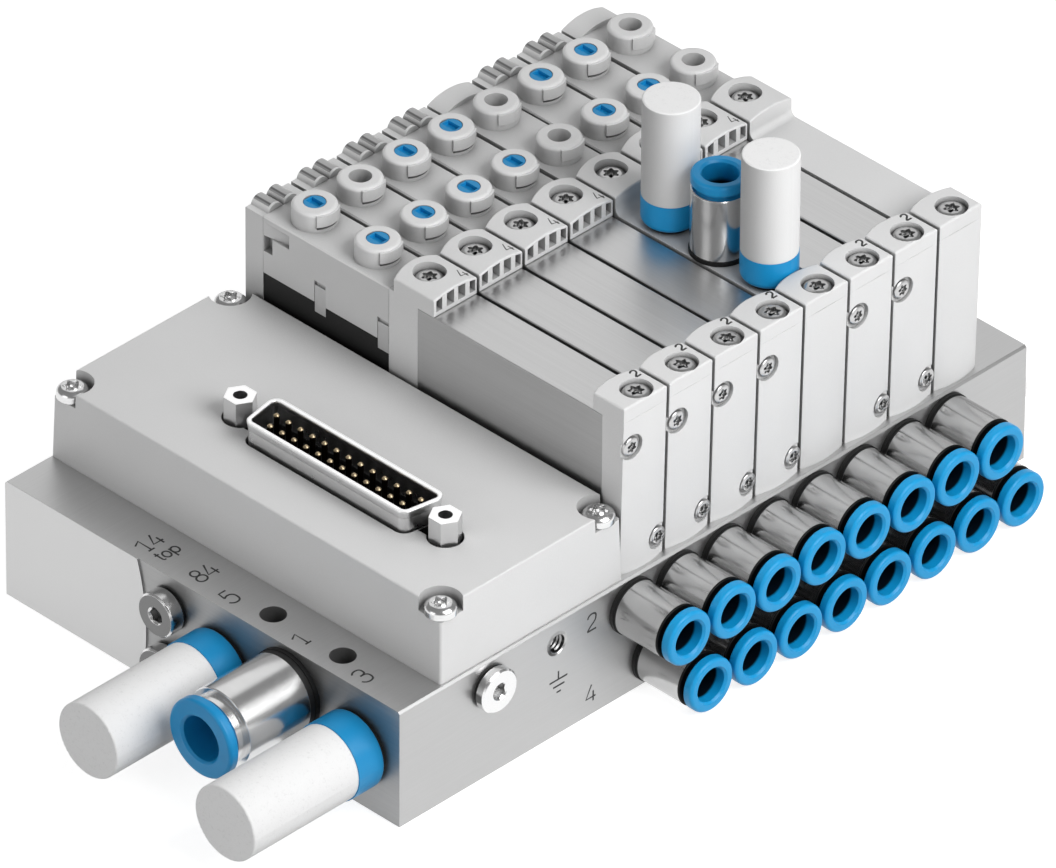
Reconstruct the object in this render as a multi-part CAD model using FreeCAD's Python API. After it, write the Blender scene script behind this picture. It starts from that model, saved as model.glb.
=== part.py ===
import FreeCAD, Part

import math
import os

# Pneumatic valve island: a manifold rail with eight stations and a multipin connector.
# The frame's origin is the centre of the rail's underside. X points to the work ports,
# Y along the rail from the port end that the connector is next to, and Z up.
# "Inset" is a distance inwards from the work face, "reach" one along the rail from the
# front port land, and "height" one above the underside. All sizes are in millimetres.

V = FreeCAD.Vector
X_AXIS, Y_AXIS, Z_AXIS = V(1, 0, 0), V(0, 1, 0), V(0, 0, 1)

# Manifold rail
rail_width = 90.8
rail_height = 22.75
last_station_margin = 15.5
land_depth = 0.3
land_edge_top = 60.3
land_edge_middle = 58.0
land_edge_bottom = 59.2
rail_edge_chamfer = 0.4
mounting_hole_radius = 2.25
mounting_hole_reach = 4.6
mounting_hole_insets = (17.55, 33.5)

# Stations
station_count = 8
station_pitch = 10.5
station_width = 9.84
housing_station_gap = 0.33
supply_station = 5
blanking_station = 8
single_pilot_stations = (2,)

# Air channels along the rail: inset, height and radius
port_inset_pitch = 7.85
channel_3_inset = 9.7
exhaust_height = 11.2
exhaust_radius = 3.6
supply_height = 14.6
supply_radius = 3.3
pilot_inset = 52.9
pilot_84_height = 16.4
pilot_14_height = 5.3
pilot_radius = 1.2
end_port_radius = 4.9
end_port_depth = 8.5
small_port_radius = 2.1
small_port_depth = 6.0
riser_radius = 1.4
cross_drill_radius = 1.0
work_port_depth = 8.0
spare_port_reach = 20.7
spare_port_height = 17.5
earth_hole_reach = 35.9
earth_hole_height = 18.2
earth_hole_radius = 1.65
earth_hole_depth = 5.0

# Work ports: two staggered rows
port_2_height = 17.25
port_4_height = 5.2
port_2_offset = -3.8
port_4_offset = 1.45

# Push-in fittings
thread_clearance = 0.05
seal_thickness = 0.8
seal_margin = 0.15
tube_6_radius = 3.1
work_fitting_radius = 4.95
work_fitting_length = 13.4
tube_8_radius = 4.05
port_1_fitting_radius = 7.15
port_1_fitting_length = 20.0
port_1_neck_length = 1.8
port_1_neck_radius = 6.1
top_fitting_length = 15.5
ring_thickness = 1.9
ring_travel = 0.8
ring_back_gap = 0.1
ring_front_radius = 0.6
ring_back_chamfer = 0.2
ring_mouth_chamfer = 0.4
ring_clearance = 0.08
sleeve_wall = 0.75
sleeve_length = 4.4
fitting_stop_land = 2.4
fitting_stud_length = 5.0
fitting_passage_radius = 1.3
fitting_rim_chamfer = 0.15
tube_seal_width = 1.2
tube_seal_wall = 0.9
tube_seal_gap = 0.3

# Silencers
end_silencer_radius = 6.8
end_silencer_length = 29.8
end_silencer_base = 6.3
end_silencer_collar = 0.2
end_silencer_foot_radius = 0.5
top_silencer_radius = 4.85
top_silencer_length = 24.5
top_silencer_base = 5.9
top_silencer_collar = 0.05
top_silencer_foot_radius = 1.2
silencer_wall = 1.4
silencer_spigot = 2.5
silencer_stud_wall = 1.3
silencer_edge = 0.3

# Blanking plugs
small_plug_radius = 4.0
small_plug_head = 2.6
spare_plug_head = 1.6
end_plug_radius = 7.0
end_plug_head = 3.0
plug_seal = 0.6
plug_seal_margin = 0.2
plug_edge = 0.3
plug_countersink = 0.2
socket_share = 0.36
plug_socket_depth = 1.8
plug_stud = 5.0

# Multipin housing
housing_front_reach = 9.95
housing_length = 41.6
housing_left_inset = 90.5
housing_right_inset = 0.7
housing_height = 14.65
housing_draft = 0.4
housing_wall = 2.2
housing_corner_radius = 0.5
housing_edge_radius = 0.3
housing_screw_margin = 2.5
housing_screw_margin_back = 3.1
housing_recess_radius = 3.6
housing_seat_depth = 2.7
housing_boss_radius = 4.6

# Connector; each height is above the housing's top
connector_inset = 38.25
connector_reach = 25.0
shell_height = 3.9
shell_length = 39.3
shell_width = 8.4
shell_slope = 10.0
shell_corner = 1.6
shell_wall = 0.5
flange_margin = 2.98
flange_width = 12.5
flange_thickness = 0.7
insulator_depth = 1.5
pin_pitch = 2.76
pin_row_gap = 2.84
pin_radius = 0.5
pin_height = 3.4
pins_in_long_row = 13
pin_solder_length = 1.0
standoff_margin = 3.87
standoff_flats = 4.9
standoff_height = 4.4
standoff_thread_radius = 1.2
standoff_thread_depth = 5.0
flange_hole_clearance = 0.4
pocket_clearance = 0.5
pocket_round_radius = 3.1
pocket_neck_width = 3.6
board_depth = 10.4
board_thickness = 1.6
board_length = 58.0
board_width = 24.0

# Valve: its outline along the inset direction, and its heights above the rail or the deck
gasket_thickness = 0.5
gasket_margin = 0.25
deck_height = 29.65
pilot_step = 0.8
pilot_height = 11.15
cover_front_top = 1.05
cover_front_bottom = 1.7
cover_front_bulge = 0.75
cover_bulge_end = 0.08
cover_bulge_drop = 2.8
cover_back = 5.9
cover_overhang = 2.1
cover_head = 3.4
cover_gap = 0.1
arc_bulge = 1.1
body_length = 42.05
cap_overlap = 3.65
cap_length = 10.3
cap_head = 3.3
cap_rise = 0.7
top_edge_radius = 0.35
cap_edge_radius = 0.3
pilot_length = 14.6
pilot_gap = 0.1
pilot_edge_chamfer = 0.25
body_edge_chamfer = 0.15
end_block_length = 4.1
end_block_drop = 0.2
end_arch_drop = 0.3
end_arch_rise = 1.1
plate_blend_radius = 1.2
block_side_gap = 0.12
cover_screw_inset = 4.0
cover_screw_offset = 0.85
cap_screw_setback = 4.4
screw_seat_rise = 2.0

# Spool
spool_bore_drop = 14.4
spool_bore_radius = 2.6
spool_clearance = 0.05
spool_stroke = 3.0
spool_end_gap = 0.3
spool_neck_radius = 1.5
spool_land_length = 3.2
spool_land_count = 6

# Domes of the manual overrides
dome_radius = 3.9
dome_rise = 3.6
dome_edge_radius = 0.7
dome_root = 0.5
dome_bore_radius = 1.95
dome_bore_depth = 3.4
dome_setback = 7.9
dome_offset = 0.35
dome_lip_radius = 4.2
dome_lip_rise = 1.15
dome_lip_angle = 80.0
dome_slot_height = 0.6
dome_slot_depth = 0.9
plunger_clearance = 0.08
plunger_recess = 0.1
plunger_slot_width = 1.5
plunger_slot_depth = 1.5
plunger_travel = 0.9
plunger_bottom_gap = 0.2

# Light pipes
pipe_offsets = (-2.0, 1.5)
pipe_width = 2.2
pipe_ridge_radius = 1.7
pipe_ridge_drop = 0.6
pipe_length = 3.6
pipe_depth = 2.6
pipe_gap = 0.02
pipe_bar_rise = 0.6

# Retaining clips and the side pocket of a valve
clip_width = 2.6
clip_length = 5.3
clip_thickness = 0.35
clip_gap = 0.05
clip_drop = 1.95
clip_slot_length = 6.2
side_pocket_depth = 0.9
side_pocket_length = 5.6
side_pocket_height = 2.6
side_pocket_drop = 1.1
side_pocket_setback = 0.5
side_window_depth = 1.45
side_window_length = 2.0
side_window_height = 3.1
side_window_setback = 0.2

# Screws
pan_head_radius = 2.35
pan_head_height = 1.2
housing_head_radius = 2.75
housing_head_height = 2.3
head_rim_share = 0.4
head_shoulder_share = 0.72
head_shoulder_height = 0.84
screw_recess_radius = 2.8
screw_radius = 1.2
screw_thread_depth = 6.5
screw_hole_gap = 0.12
cross_slot_length = 2.6
cross_slot_width = 0.7
cross_slot_depth = 0.7
screw_hole_spare = 1.5
small_screw_radius = 0.9
small_head_radius = 1.75
small_head_height = 0.9
small_head_crown_share = 0.7
small_head_rim_share = 0.5
small_socket_share = 0.8
small_socket_floor = 0.4
small_screw_length = 9.0
small_recess_radius = 2.35
small_seat_inset = 1.75
upper_screw_offset = -3.0
upper_screw_drop = 8.25
lower_screw_offset = 3.4
lower_screw_rise = 3.95

# Slots in the front of a numbered cap: offset from the middle, and width
cap_slots = ((-3.66, 1.35), (-1.09, 1.65), (1.5, 1.65), (3.95, 1.25))
cap_slot_depth = 2.2
cap_slot_sill = 0.85
cap_slot_roof = 0.45

# Supply plate
plate_port_first_inset = 14.05
plate_port_inset_pitch = 11.3
plate_port_radius = 2.6
plate_port_depth = 8.0

# A cut runs this far past the face that it opens; edges this close to a place are at it
spill = 1.0
touch = 0.01

# Planes that the pieces share
work_face = rail_width / 2
housing_back_reach = housing_front_reach + housing_length
first_station_reach = housing_back_reach + housing_station_gap + station_width / 2
land_length = first_station_reach + (station_count - 1) * station_pitch + last_station_margin
front_land = -land_length / 2
back_land = land_length / 2
channel_1_inset = channel_3_inset + 2 * port_inset_pitch
channel_5_inset = channel_3_inset + 4 * port_inset_pitch
riser_insets = [channel_3_inset + step * port_inset_pitch for step in range(5)]
valve_stations = [n for n in range(1, station_count + 1) if n not in (supply_station, blanking_station)]
lip_end = cover_back + cover_overhang
body_end = cover_back + body_length
cap_front = body_end - cap_overlap
cap_end = cap_front + cap_length
cap_screw_inset = cap_end - cap_screw_setback
pilot_end = cap_end + 2 * pilot_length
station_end = pilot_end + end_block_length
dome_row_insets = (cap_end + pilot_length + dome_setback, cap_end + dome_setback)
body_bottom = rail_height + gasket_thickness
valve_deck_height = rail_height + deck_height
pilot_deck_height = valve_deck_height + pilot_step
pilot_bottom = pilot_deck_height - pilot_height
head_bottom = valve_deck_height + cover_gap
cover_top = valve_deck_height + cover_head
cap_side_top = valve_deck_height + cap_head
screw_seat_height = valve_deck_height + screw_seat_rise
spool_bore_height = valve_deck_height - spool_bore_drop
spool_length = body_length - spool_stroke - 2 * spool_end_gap
pipe_ridge_centre = pilot_deck_height - pipe_ridge_drop
clip_bottom = pilot_bottom - clip_drop
housing_top = rail_height + housing_height
flange_top = housing_top - housing_wall
standoff_gap = shell_length + 2 * standoff_margin
flange_length = standoff_gap + 2 * flange_margin
connector_top = housing_top + shell_height
insulator_top = housing_top - insulator_depth
pin_top = housing_top + pin_height
standoff_top = housing_top + standoff_height
board_bottom = housing_top - board_depth
board_top = board_bottom + board_thickness
half_station = station_width / 2

parts = {}


def at_inset(inset):
    return work_face - inset


def at_reach(reach):
    return front_land + reach


def station_centre(number):
    return at_reach(first_station_reach + (number - 1) * station_pitch)


def box(x_range, y_range, z_range):
    low = V(min(x_range), min(y_range), min(z_range))
    high = V(max(x_range), max(y_range), max(z_range))
    size = high - low
    return Part.makeBox(size.x, size.y, size.z, low)


def inset_box(inset_range, y_range, z_range):
    return box([at_inset(inset) for inset in inset_range], y_range, z_range)


def rod(radius, start, direction, length):
    return Part.makeCylinder(radius, length, start, direction)


def across(middle, width):
    return (middle - width / 2, middle + width / 2)


def placed(shape, base, direction):
    moved = shape.copy()
    moved.Placement = FreeCAD.Placement(base, FreeCAD.Rotation(Z_AXIS, direction))
    return moved


def revolved(profile):
    """Turn an outline of (radius, distance) points about the Z axis."""
    points = [V(radius, 0, distance) for radius, distance in profile]
    return Part.Face(Part.makePolygon(points + points[:1])).revolve(V(0, 0, 0), Z_AXIS, 360)


def turned(profile, base, direction):
    """Turn an outline of (radius, distance) points about an axis that starts at base."""
    return placed(revolved(profile), base, direction)


def rounded(solid, size, radius, distance):
    """Round the circular edge of a solid about Z that has this radius and distance."""
    chosen = [edge for edge in solid.Edges
              if isinstance(edge.Curve, Part.Circle) and abs(edge.Curve.Radius - radius) < touch
              and abs(edge.Curve.Center.z - distance) < touch]
    return solid.makeFillet(size, chosen)


def hexagon_prism(flats, start, direction, length):
    corner = flats / math.sqrt(3)
    points = [V(corner * math.cos(math.radians(60 * n)), corner * math.sin(math.radians(60 * n)), 0)
              for n in range(7)]
    return placed(Part.Face(Part.makePolygon(points)).extrude(V(0, 0, length)), start, direction)


def group(solids):
    return Part.makeCompound(solids)


def arched_outline(middle, side_top, rise, bottom):
    """An outline across a station: flat below, with an arch on top."""
    left, right = middle - half_station, middle + half_station
    arch = Part.Arc(V(0, left, side_top), V(0, middle, side_top + rise), V(0, right, side_top)).toShape()
    low = Part.makePolygon([V(0, left, side_top), V(0, left, bottom), V(0, right, bottom),
                            V(0, right, side_top)])
    return Part.Face(Part.Wire(low.Edges + [arch]))


def arched_bar(middle, inset_range, side_top, rise, bottom):
    face = arched_outline(middle, side_top, rise, bottom)
    face.translate(V(at_inset(max(inset_range)), 0, 0))
    return face.extrude(V(max(inset_range) - min(inset_range), 0, 0))


def round_ended_plan(middle, front_inset, back_inset, bulge, bottom, top):
    """A block whose far end is an arc in plan, with its middle at back_inset + bulge."""
    left, right = middle - half_station, middle + half_station
    arc = Part.Arc(V(at_inset(back_inset), left, bottom), V(at_inset(back_inset + bulge), middle, bottom),
                   V(at_inset(back_inset), right, bottom)).toShape()
    sides = Part.makePolygon([V(at_inset(back_inset), right, bottom), V(at_inset(front_inset), right, bottom),
                              V(at_inset(front_inset), left, bottom), V(at_inset(back_inset), left, bottom)])
    return Part.Face(Part.Wire([arc] + sides.Edges)).extrude(V(0, 0, top - bottom))


def channel_ends():
    """Each channel along the rail: inset, height, channel radius and end port radius."""
    return (
        (channel_3_inset, exhaust_height, exhaust_radius, end_port_radius, end_port_depth),
        (channel_1_inset, supply_height, supply_radius, end_port_radius, end_port_depth),
        (channel_5_inset, exhaust_height, exhaust_radius, end_port_radius, end_port_depth),
        (pilot_inset, pilot_84_height, pilot_radius, small_port_radius, small_port_depth),
        (pilot_inset, pilot_14_height, pilot_radius, small_port_radius, small_port_depth),
    )


def port_land(face_y, outward):
    """The shallow milled land round the end ports; its left edge is the sweep of the cutter."""
    y = face_y
    top, bottom = rail_height + spill, -spill
    edge = Part.Arc(V(at_inset(land_edge_top), y, top), V(at_inset(land_edge_middle), y, rail_height / 2),
                    V(at_inset(land_edge_bottom), y, bottom)).toShape()
    rest = Part.makePolygon([V(at_inset(land_edge_bottom), y, bottom), V(work_face + spill, y, bottom),
                             V(work_face + spill, y, top), V(at_inset(land_edge_top), y, top)])
    return Part.Face(Part.Wire([edge] + rest.Edges)).extrude(V(0, outward * 2 * land_depth, 0))


def manifold_rail():
    rail = box((-work_face, work_face), (front_land - land_depth, back_land + land_depth), (0, rail_height))
    long_edges = [edge for edge in rail.Edges
                  if edge.BoundBox.ZMin > rail_height - touch and edge.BoundBox.YLength > land_length]
    rail = rail.makeChamfer(rail_edge_chamfer, long_edges)
    cuts = [port_land(front_land, -1), port_land(back_land, 1)]
    for inset, height, radius, port_radius, depth in channel_ends():
        x = at_inset(inset)
        cuts.append(rod(radius, V(x, front_land - spill, height), Y_AXIS, land_length + 2 * spill))
        cuts.append(rod(port_radius, V(x, front_land - spill, height), Y_AXIS, depth + spill))
        cuts.append(rod(port_radius, V(x, back_land + spill, height), -Y_AXIS, depth + spill))
    for number in range(1, station_count + 1):
        cuts += station_drillings(station_centre(number))
    for inset in mounting_hole_insets:
        for y in (at_reach(mounting_hole_reach), -at_reach(mounting_hole_reach)):
            cuts.append(rod(mounting_hole_radius, V(at_inset(inset), y, -spill), Z_AXIS,
                            rail_height + 2 * spill))
    for x, y in housing_screw_places():
        cuts.append(screw_thread_hole(x, y))
    cuts.append(rod(small_port_radius, V(work_face + spill, at_reach(spare_port_reach), spare_port_height),
                    -X_AXIS, small_port_depth + spill))
    cuts.append(rod(earth_hole_radius, V(work_face + spill, at_reach(earth_hole_reach), earth_hole_height),
                    -X_AXIS, earth_hole_depth + spill))
    return rail.cut(cuts)


def screw_thread_hole(x, y):
    """The hole in the rail's top for one of the long screws, a little deeper than its tip."""
    return rod(screw_radius + screw_hole_gap, V(x, y, rail_height + spill), -Z_AXIS,
               screw_thread_depth + screw_hole_spare)


def station_drillings(middle):
    """Work ports, the risers to the valve, and the threads of its two long screws."""
    cuts = []
    rows = ((port_2_offset, port_2_height, riser_insets[1]), (port_4_offset, port_4_height, riser_insets[3]))
    for offset, height, riser_inset in rows:
        start = V(work_face + spill, middle + offset, height)
        cuts.append(rod(small_port_radius, start, -X_AXIS, work_port_depth + spill))
        cuts.append(rod(cross_drill_radius, start, -X_AXIS, riser_inset + spill))
        cuts.append(rod(cross_drill_radius, V(at_inset(riser_inset), middle + offset, height),
                        Z_AXIS, rail_height - height + spill))
    for inset, height in ((riser_insets[0], exhaust_height), (riser_insets[2], supply_height),
                          (riser_insets[4], exhaust_height)):
        cuts.append(rod(riser_radius, V(at_inset(inset), middle, height), Z_AXIS,
                        rail_height - height + spill))
    return cuts + [screw_thread_hole(x, y) for x, y in valve_screw_places(middle)]


def valve_screw_places(middle):
    """The two long screws of a station: through its cover and through its cap."""
    return ((at_inset(cover_screw_inset), middle + cover_screw_offset), (at_inset(cap_screw_inset), middle))


def riser_places(middle):
    """Where the five air holes meet the rail's top, in the order 3, 2, 1, 4, 5."""
    offsets = (0, port_2_offset, 0, port_4_offset, 0)
    radii = (riser_radius, cross_drill_radius, riser_radius, cross_drill_radius, riser_radius)
    return [(at_inset(inset), middle + offset, radius)
            for inset, offset, radius in zip(riser_insets, offsets, radii)]


def gasket(number):
    middle = station_centre(number)
    plate = inset_box((cover_back + gasket_margin, body_end - gasket_margin),
                      across(middle, station_width - 2 * gasket_margin), (rail_height, body_bottom))
    holes = [rod(radius, V(x, y, rail_height - spill), Z_AXIS, gasket_thickness + 2 * spill)
             for x, y, radius in riser_places(middle)]
    return plate.cut(holes)


def housing_screw_places():
    left = at_inset(housing_left_inset - housing_screw_margin)
    right = at_inset(housing_right_inset + housing_screw_margin)
    front = at_reach(housing_front_reach + housing_screw_margin)
    back = at_reach(housing_back_reach - housing_screw_margin_back)
    return [(right, front), (right, back), (left, front), (left, back)]


def drafted_block(inset_range, reach_range, bottom, top, draft):
    """A block whose four sides lean inwards by the draft between bottom and top."""
    low_x, high_x = at_inset(max(inset_range)), at_inset(min(inset_range))
    low_y, high_y = at_reach(min(reach_range)), at_reach(max(reach_range))
    lying = Part.makeWedge(low_x, bottom, -high_y, draft - high_y, low_x + draft,
                           high_x, top, -low_y, -low_y - draft, high_x - draft)
    lying.rotate(V(0, 0, 0), X_AXIS, 90)
    return lying


def connector_outline(grow, z):
    """The D outline of the connector, its long side to the back, with rounded corners."""
    half_long = shell_length / 2 + grow
    half_wide = shell_width / 2 + grow
    half_short = half_long - 2 * half_wide * math.tan(math.radians(shell_slope))
    corners = [V(-half_short, -half_wide, 0), V(half_short, -half_wide, 0),
               V(half_long, half_wide, 0), V(-half_long, half_wide, 0)]
    face = Part.Face(Part.makePolygon(corners + corners[:1]))
    solid = face.extrude(Z_AXIS)
    upright = [edge for edge in solid.Edges if edge.BoundBox.ZLength > 1 - touch]
    solid = solid.makeFillet(shell_corner + grow, upright)
    bottom = min(solid.Faces, key=lambda f: f.CenterOfMass.z)
    outline = Part.Face(bottom.OuterWire)
    outline.translate(V(at_inset(connector_inset), at_reach(connector_reach), z))
    return outline


def connector_block(grow, bottom, top):
    return connector_outline(grow, bottom).extrude(V(0, 0, top - bottom))


def standoff_places():
    return [V(at_inset(connector_inset) + side * standoff_gap / 2, at_reach(connector_reach), 0)
            for side in (-1, 1)]


def multipin_housing():
    outer = drafted_block((housing_right_inset, housing_left_inset),
                          (housing_front_reach, housing_back_reach), rail_height, housing_top, housing_draft)
    upright = [edge for edge in outer.Edges if edge.BoundBox.ZLength > housing_height / 2]
    outer = outer.makeFillet(housing_corner_radius, upright)
    rim = [edge for edge in outer.Edges if edge.BoundBox.ZMin > housing_top - touch]
    outer = outer.makeFillet(housing_edge_radius, rim)
    seat = housing_top - housing_seat_depth
    inner = drafted_block((housing_right_inset + housing_wall, housing_left_inset - housing_wall),
                          (housing_front_reach + housing_wall, housing_back_reach - housing_wall),
                          rail_height - spill, flange_top, housing_draft)
    bosses = [rod(housing_boss_radius, V(x, y, rail_height - spill), Z_AXIS, housing_height)
              for x, y in housing_screw_places()]
    shell = outer.cut(inner.cut(bosses))
    cuts = [connector_block(pocket_clearance, flange_top - spill, housing_top + spill)]
    for place in standoff_places():
        cuts.append(rod(pocket_round_radius, place + V(0, 0, flange_top - spill), Z_AXIS,
                        housing_wall + 2 * spill))
    middle_x, middle_y = at_inset(connector_inset), at_reach(connector_reach)
    cuts.append(box(across(middle_x, standoff_gap), across(middle_y, pocket_neck_width),
                    (flange_top - spill, housing_top + spill)))
    for x, y in housing_screw_places():
        cuts.append(rod(housing_recess_radius, V(x, y, seat), Z_AXIS, housing_seat_depth + spill))
        cuts.append(rod(screw_radius + screw_hole_gap, V(x, y, rail_height - spill), Z_AXIS, housing_height))
    return shell.cut(cuts)


def pan_screw(x, y, seat, head_radius, head_height, tip):
    """A pan-head screw with a cross recess; its thread is left plain."""
    top = seat + head_height
    rim = seat + head_height * head_rim_share
    shoulder = V(head_radius * head_shoulder_share, 0, seat + head_height * head_shoulder_height)
    crown = Part.Arc(V(head_radius, 0, rim), shoulder, V(0, 0, top)).toShape()
    rest = Part.makePolygon([V(0, 0, top), V(0, 0, tip), V(screw_radius, 0, tip), V(screw_radius, 0, seat),
                             V(head_radius, 0, seat), V(head_radius, 0, rim)])
    outline = Part.Face(Part.Wire([crown] + rest.Edges))
    screw = placed(outline.revolve(V(0, 0, 0), Z_AXIS, 360), V(x, y, 0), Z_AXIS)
    floor_to_air = (top - cross_slot_depth, top + spill)
    along = box(across(x, cross_slot_length), across(y, cross_slot_width), floor_to_air)
    over = box(across(x, cross_slot_width), across(y, cross_slot_length), floor_to_air)
    return screw.cut([along, over])


def fixing_screws():
    tip = rail_height - screw_thread_depth
    seat = housing_top - housing_seat_depth
    screws = [pan_screw(x, y, seat, housing_head_radius, housing_head_height, tip)
              for x, y in housing_screw_places()]
    for number in range(1, station_count + 1):
        for x, y in valve_screw_places(station_centre(number)):
            screws.append(pan_screw(x, y, screw_seat_height, pan_head_radius, pan_head_height, tip))
    return group(screws)


def circuit_board():
    x_range = across(at_inset(connector_inset), board_length)
    board = box(x_range, across(at_reach(connector_reach), board_width), (board_bottom, board_top))
    holes = [rod(pin_radius, pin + V(0, 0, board_bottom - spill), Z_AXIS, board_thickness + 2 * spill)
             for pin in pin_places()]
    return board.cut(holes)


def connector_shell():
    x_range = across(at_inset(connector_inset), flange_length)
    flange = box(x_range, across(at_reach(connector_reach), flange_width),
                 (flange_top - flange_thickness, flange_top))
    wall = connector_block(0, flange_top, connector_top)
    inside = connector_block(-shell_wall, flange_top - flange_thickness - spill, connector_top + spill)
    holes = [rod(standoff_thread_radius + flange_hole_clearance, place + V(0, 0, flange_top + spill), -Z_AXIS,
                 flange_thickness + 2 * spill) for place in standoff_places()]
    return flange.fuse(wall).cut([inside] + holes)


def pin_places():
    places = []
    for row, count in ((1, pins_in_long_row), (-1, pins_in_long_row - 1)):
        for n in range(count):
            x = at_inset(connector_inset) + (n - (count - 1) / 2) * pin_pitch
            places.append(V(x, at_reach(connector_reach) + row * pin_row_gap / 2, 0))
    return places


def connector_insulator():
    block = connector_block(-shell_wall, board_top, insulator_top)
    holes = [rod(pin_radius, pin + V(0, 0, board_bottom), Z_AXIS, connector_top - board_bottom)
             for pin in pin_places()]
    return block.cut(holes)


def connector_pins():
    tip = pin_radius / 2
    foot = board_bottom - pin_solder_length
    profile = ((0, foot), (pin_radius, foot), (pin_radius, pin_top - tip), (tip, pin_top), (0, pin_top))
    return group([turned(profile, pin, Z_AXIS) for pin in pin_places()])


def connector_standoffs():
    standoffs = []
    for place in standoff_places():
        nut = hexagon_prism(standoff_flats, place + V(0, 0, flange_top), Z_AXIS, standoff_top - flange_top)
        stud = rod(standoff_thread_radius, place + V(0, 0, board_top), Z_AXIS, flange_top - board_top)
        hole = rod(standoff_thread_radius, place + V(0, 0, standoff_top - standoff_thread_depth), Z_AXIS,
                   standoff_thread_depth + spill)
        standoffs.append(nut.fuse(stud).cut(hole))
    return group(standoffs)


class Fitting:
    """A push-in fitting: its sizes, its place and the solids it is made of."""

    def __init__(self, name, base, direction, radius, length, tube_radius, port_radius, neck_length):
        self.name = name
        self.base = base
        self.direction = direction
        self.radius = radius
        self.length = length
        self.tube_radius = tube_radius
        self.stud_radius = port_radius - thread_clearance
        self.neck_length = neck_length
        self.ring_start = length - ring_thickness
        self.body_end = self.ring_start - ring_travel - ring_back_gap
        self.sleeve_radius = tube_radius + sleeve_wall
        self.sleeve_start = self.body_end - sleeve_length
        self.seal_start = self.sleeve_start - ring_travel - tube_seal_width - tube_seal_gap

    def seal(self):
        outer = self.radius + seal_margin
        return turned(((self.stud_radius, 0), (outer, 0), (outer, seal_thickness),
                       (self.stud_radius, seal_thickness)), self.base, self.direction)

    def body(self):
        neck_start = self.body_end - self.neck_length
        rim = fitting_rim_chamfer
        bore = self.sleeve_radius + ring_clearance
        seal_bore = self.tube_radius + tube_seal_wall
        profile = [(fitting_passage_radius, -fitting_stud_length), (self.stud_radius, -fitting_stud_length),
                   (self.stud_radius, seal_thickness), (self.radius, seal_thickness),
                   (self.radius, neck_start - rim), (self.radius - rim, neck_start)]
        if self.neck_length:
            profile += [(port_1_neck_radius, neck_start), (port_1_neck_radius, self.body_end)]
        profile += [(bore, self.body_end), (bore, self.seal_start + tube_seal_width),
                    (seal_bore, self.seal_start + tube_seal_width), (seal_bore, self.seal_start),
                    (self.tube_radius, self.seal_start), (self.tube_radius, fitting_stop_land),
                    (fitting_passage_radius, fitting_stop_land)]
        return turned(profile, self.base, self.direction)

    def tube_seal(self):
        outer = self.tube_radius + tube_seal_wall
        end = self.seal_start + tube_seal_width
        return turned(((self.tube_radius, self.seal_start), (outer, self.seal_start), (outer, end),
                       (self.tube_radius, end)), self.base, self.direction)

    def ring(self):
        profile = ((self.tube_radius, self.sleeve_start), (self.sleeve_radius, self.sleeve_start),
                   (self.sleeve_radius, self.ring_start), (self.radius - ring_back_chamfer, self.ring_start),
                   (self.radius, self.ring_start + ring_back_chamfer), (self.radius, self.length),
                   (self.tube_radius + ring_mouth_chamfer, self.length),
                   (self.tube_radius, self.length - ring_mouth_chamfer))
        solid = rounded(revolved(profile), ring_front_radius, self.radius, self.length)
        return placed(solid, self.base, self.direction)


def plate_port_insets():
    return [plate_port_first_inset + step * plate_port_inset_pitch for step in range(3)]


def fittings():
    found = []
    for number in range(1, station_count + 1):
        middle = station_centre(number)
        for label, offset, height in ((2, port_2_offset, port_2_height), (4, port_4_offset, port_4_height)):
            base = V(work_face, middle + offset, height)
            found.append(Fitting("work_%d_%d" % (number, label), base, X_AXIS, work_fitting_radius,
                                 work_fitting_length, tube_6_radius, small_port_radius, 0))
    found.append(Fitting("supply", V(at_inset(channel_1_inset), front_land, supply_height), -Y_AXIS,
                         port_1_fitting_radius, port_1_fitting_length, tube_8_radius, end_port_radius,
                         port_1_neck_length))
    base = V(at_inset(plate_port_insets()[1]), station_centre(supply_station), valve_deck_height)
    found.append(Fitting("top", base, Z_AXIS, work_fitting_radius, top_fitting_length, tube_6_radius,
                         plate_port_radius, 0))
    return found


class Silencer:
    """A silencer: a blue threaded base that carries a closed porous tube."""

    def __init__(self, base, direction, radius, length, base_length, port_radius, collar, foot_radius):
        self.base = base
        self.direction = direction
        self.radius = radius
        self.length = length
        self.base_length = base_length
        self.stud_radius = port_radius - thread_clearance
        self.bore = self.stud_radius - silencer_stud_wall
        self.spigot = radius - silencer_wall
        self.collar_radius = radius + collar
        self.foot_radius = foot_radius

    def seal(self):
        outer = self.collar_radius - self.foot_radius
        return turned(((self.stud_radius, 0), (outer, 0), (outer, plug_seal), (self.stud_radius, plug_seal)),
                      self.base, self.direction)

    def holder(self):
        spigot_end = self.base_length + silencer_spigot
        profile = ((self.bore, -fitting_stud_length), (self.stud_radius, -fitting_stud_length),
                   (self.stud_radius, plug_seal), (self.collar_radius, plug_seal),
                   (self.collar_radius, self.base_length), (self.spigot, self.base_length),
                   (self.spigot, spigot_end), (self.bore, spigot_end))
        solid = rounded(revolved(profile), self.foot_radius, self.collar_radius, plug_seal)
        return placed(solid, self.base, self.direction)

    def element(self):
        floor = self.length - silencer_wall
        profile = ((self.spigot, self.base_length), (self.radius, self.base_length),
                   (self.radius, self.length), (0, self.length), (0, floor), (self.spigot, floor))
        solid = rounded(revolved(profile), silencer_edge, self.radius, self.length)
        return placed(solid, self.base, self.direction)


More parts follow.
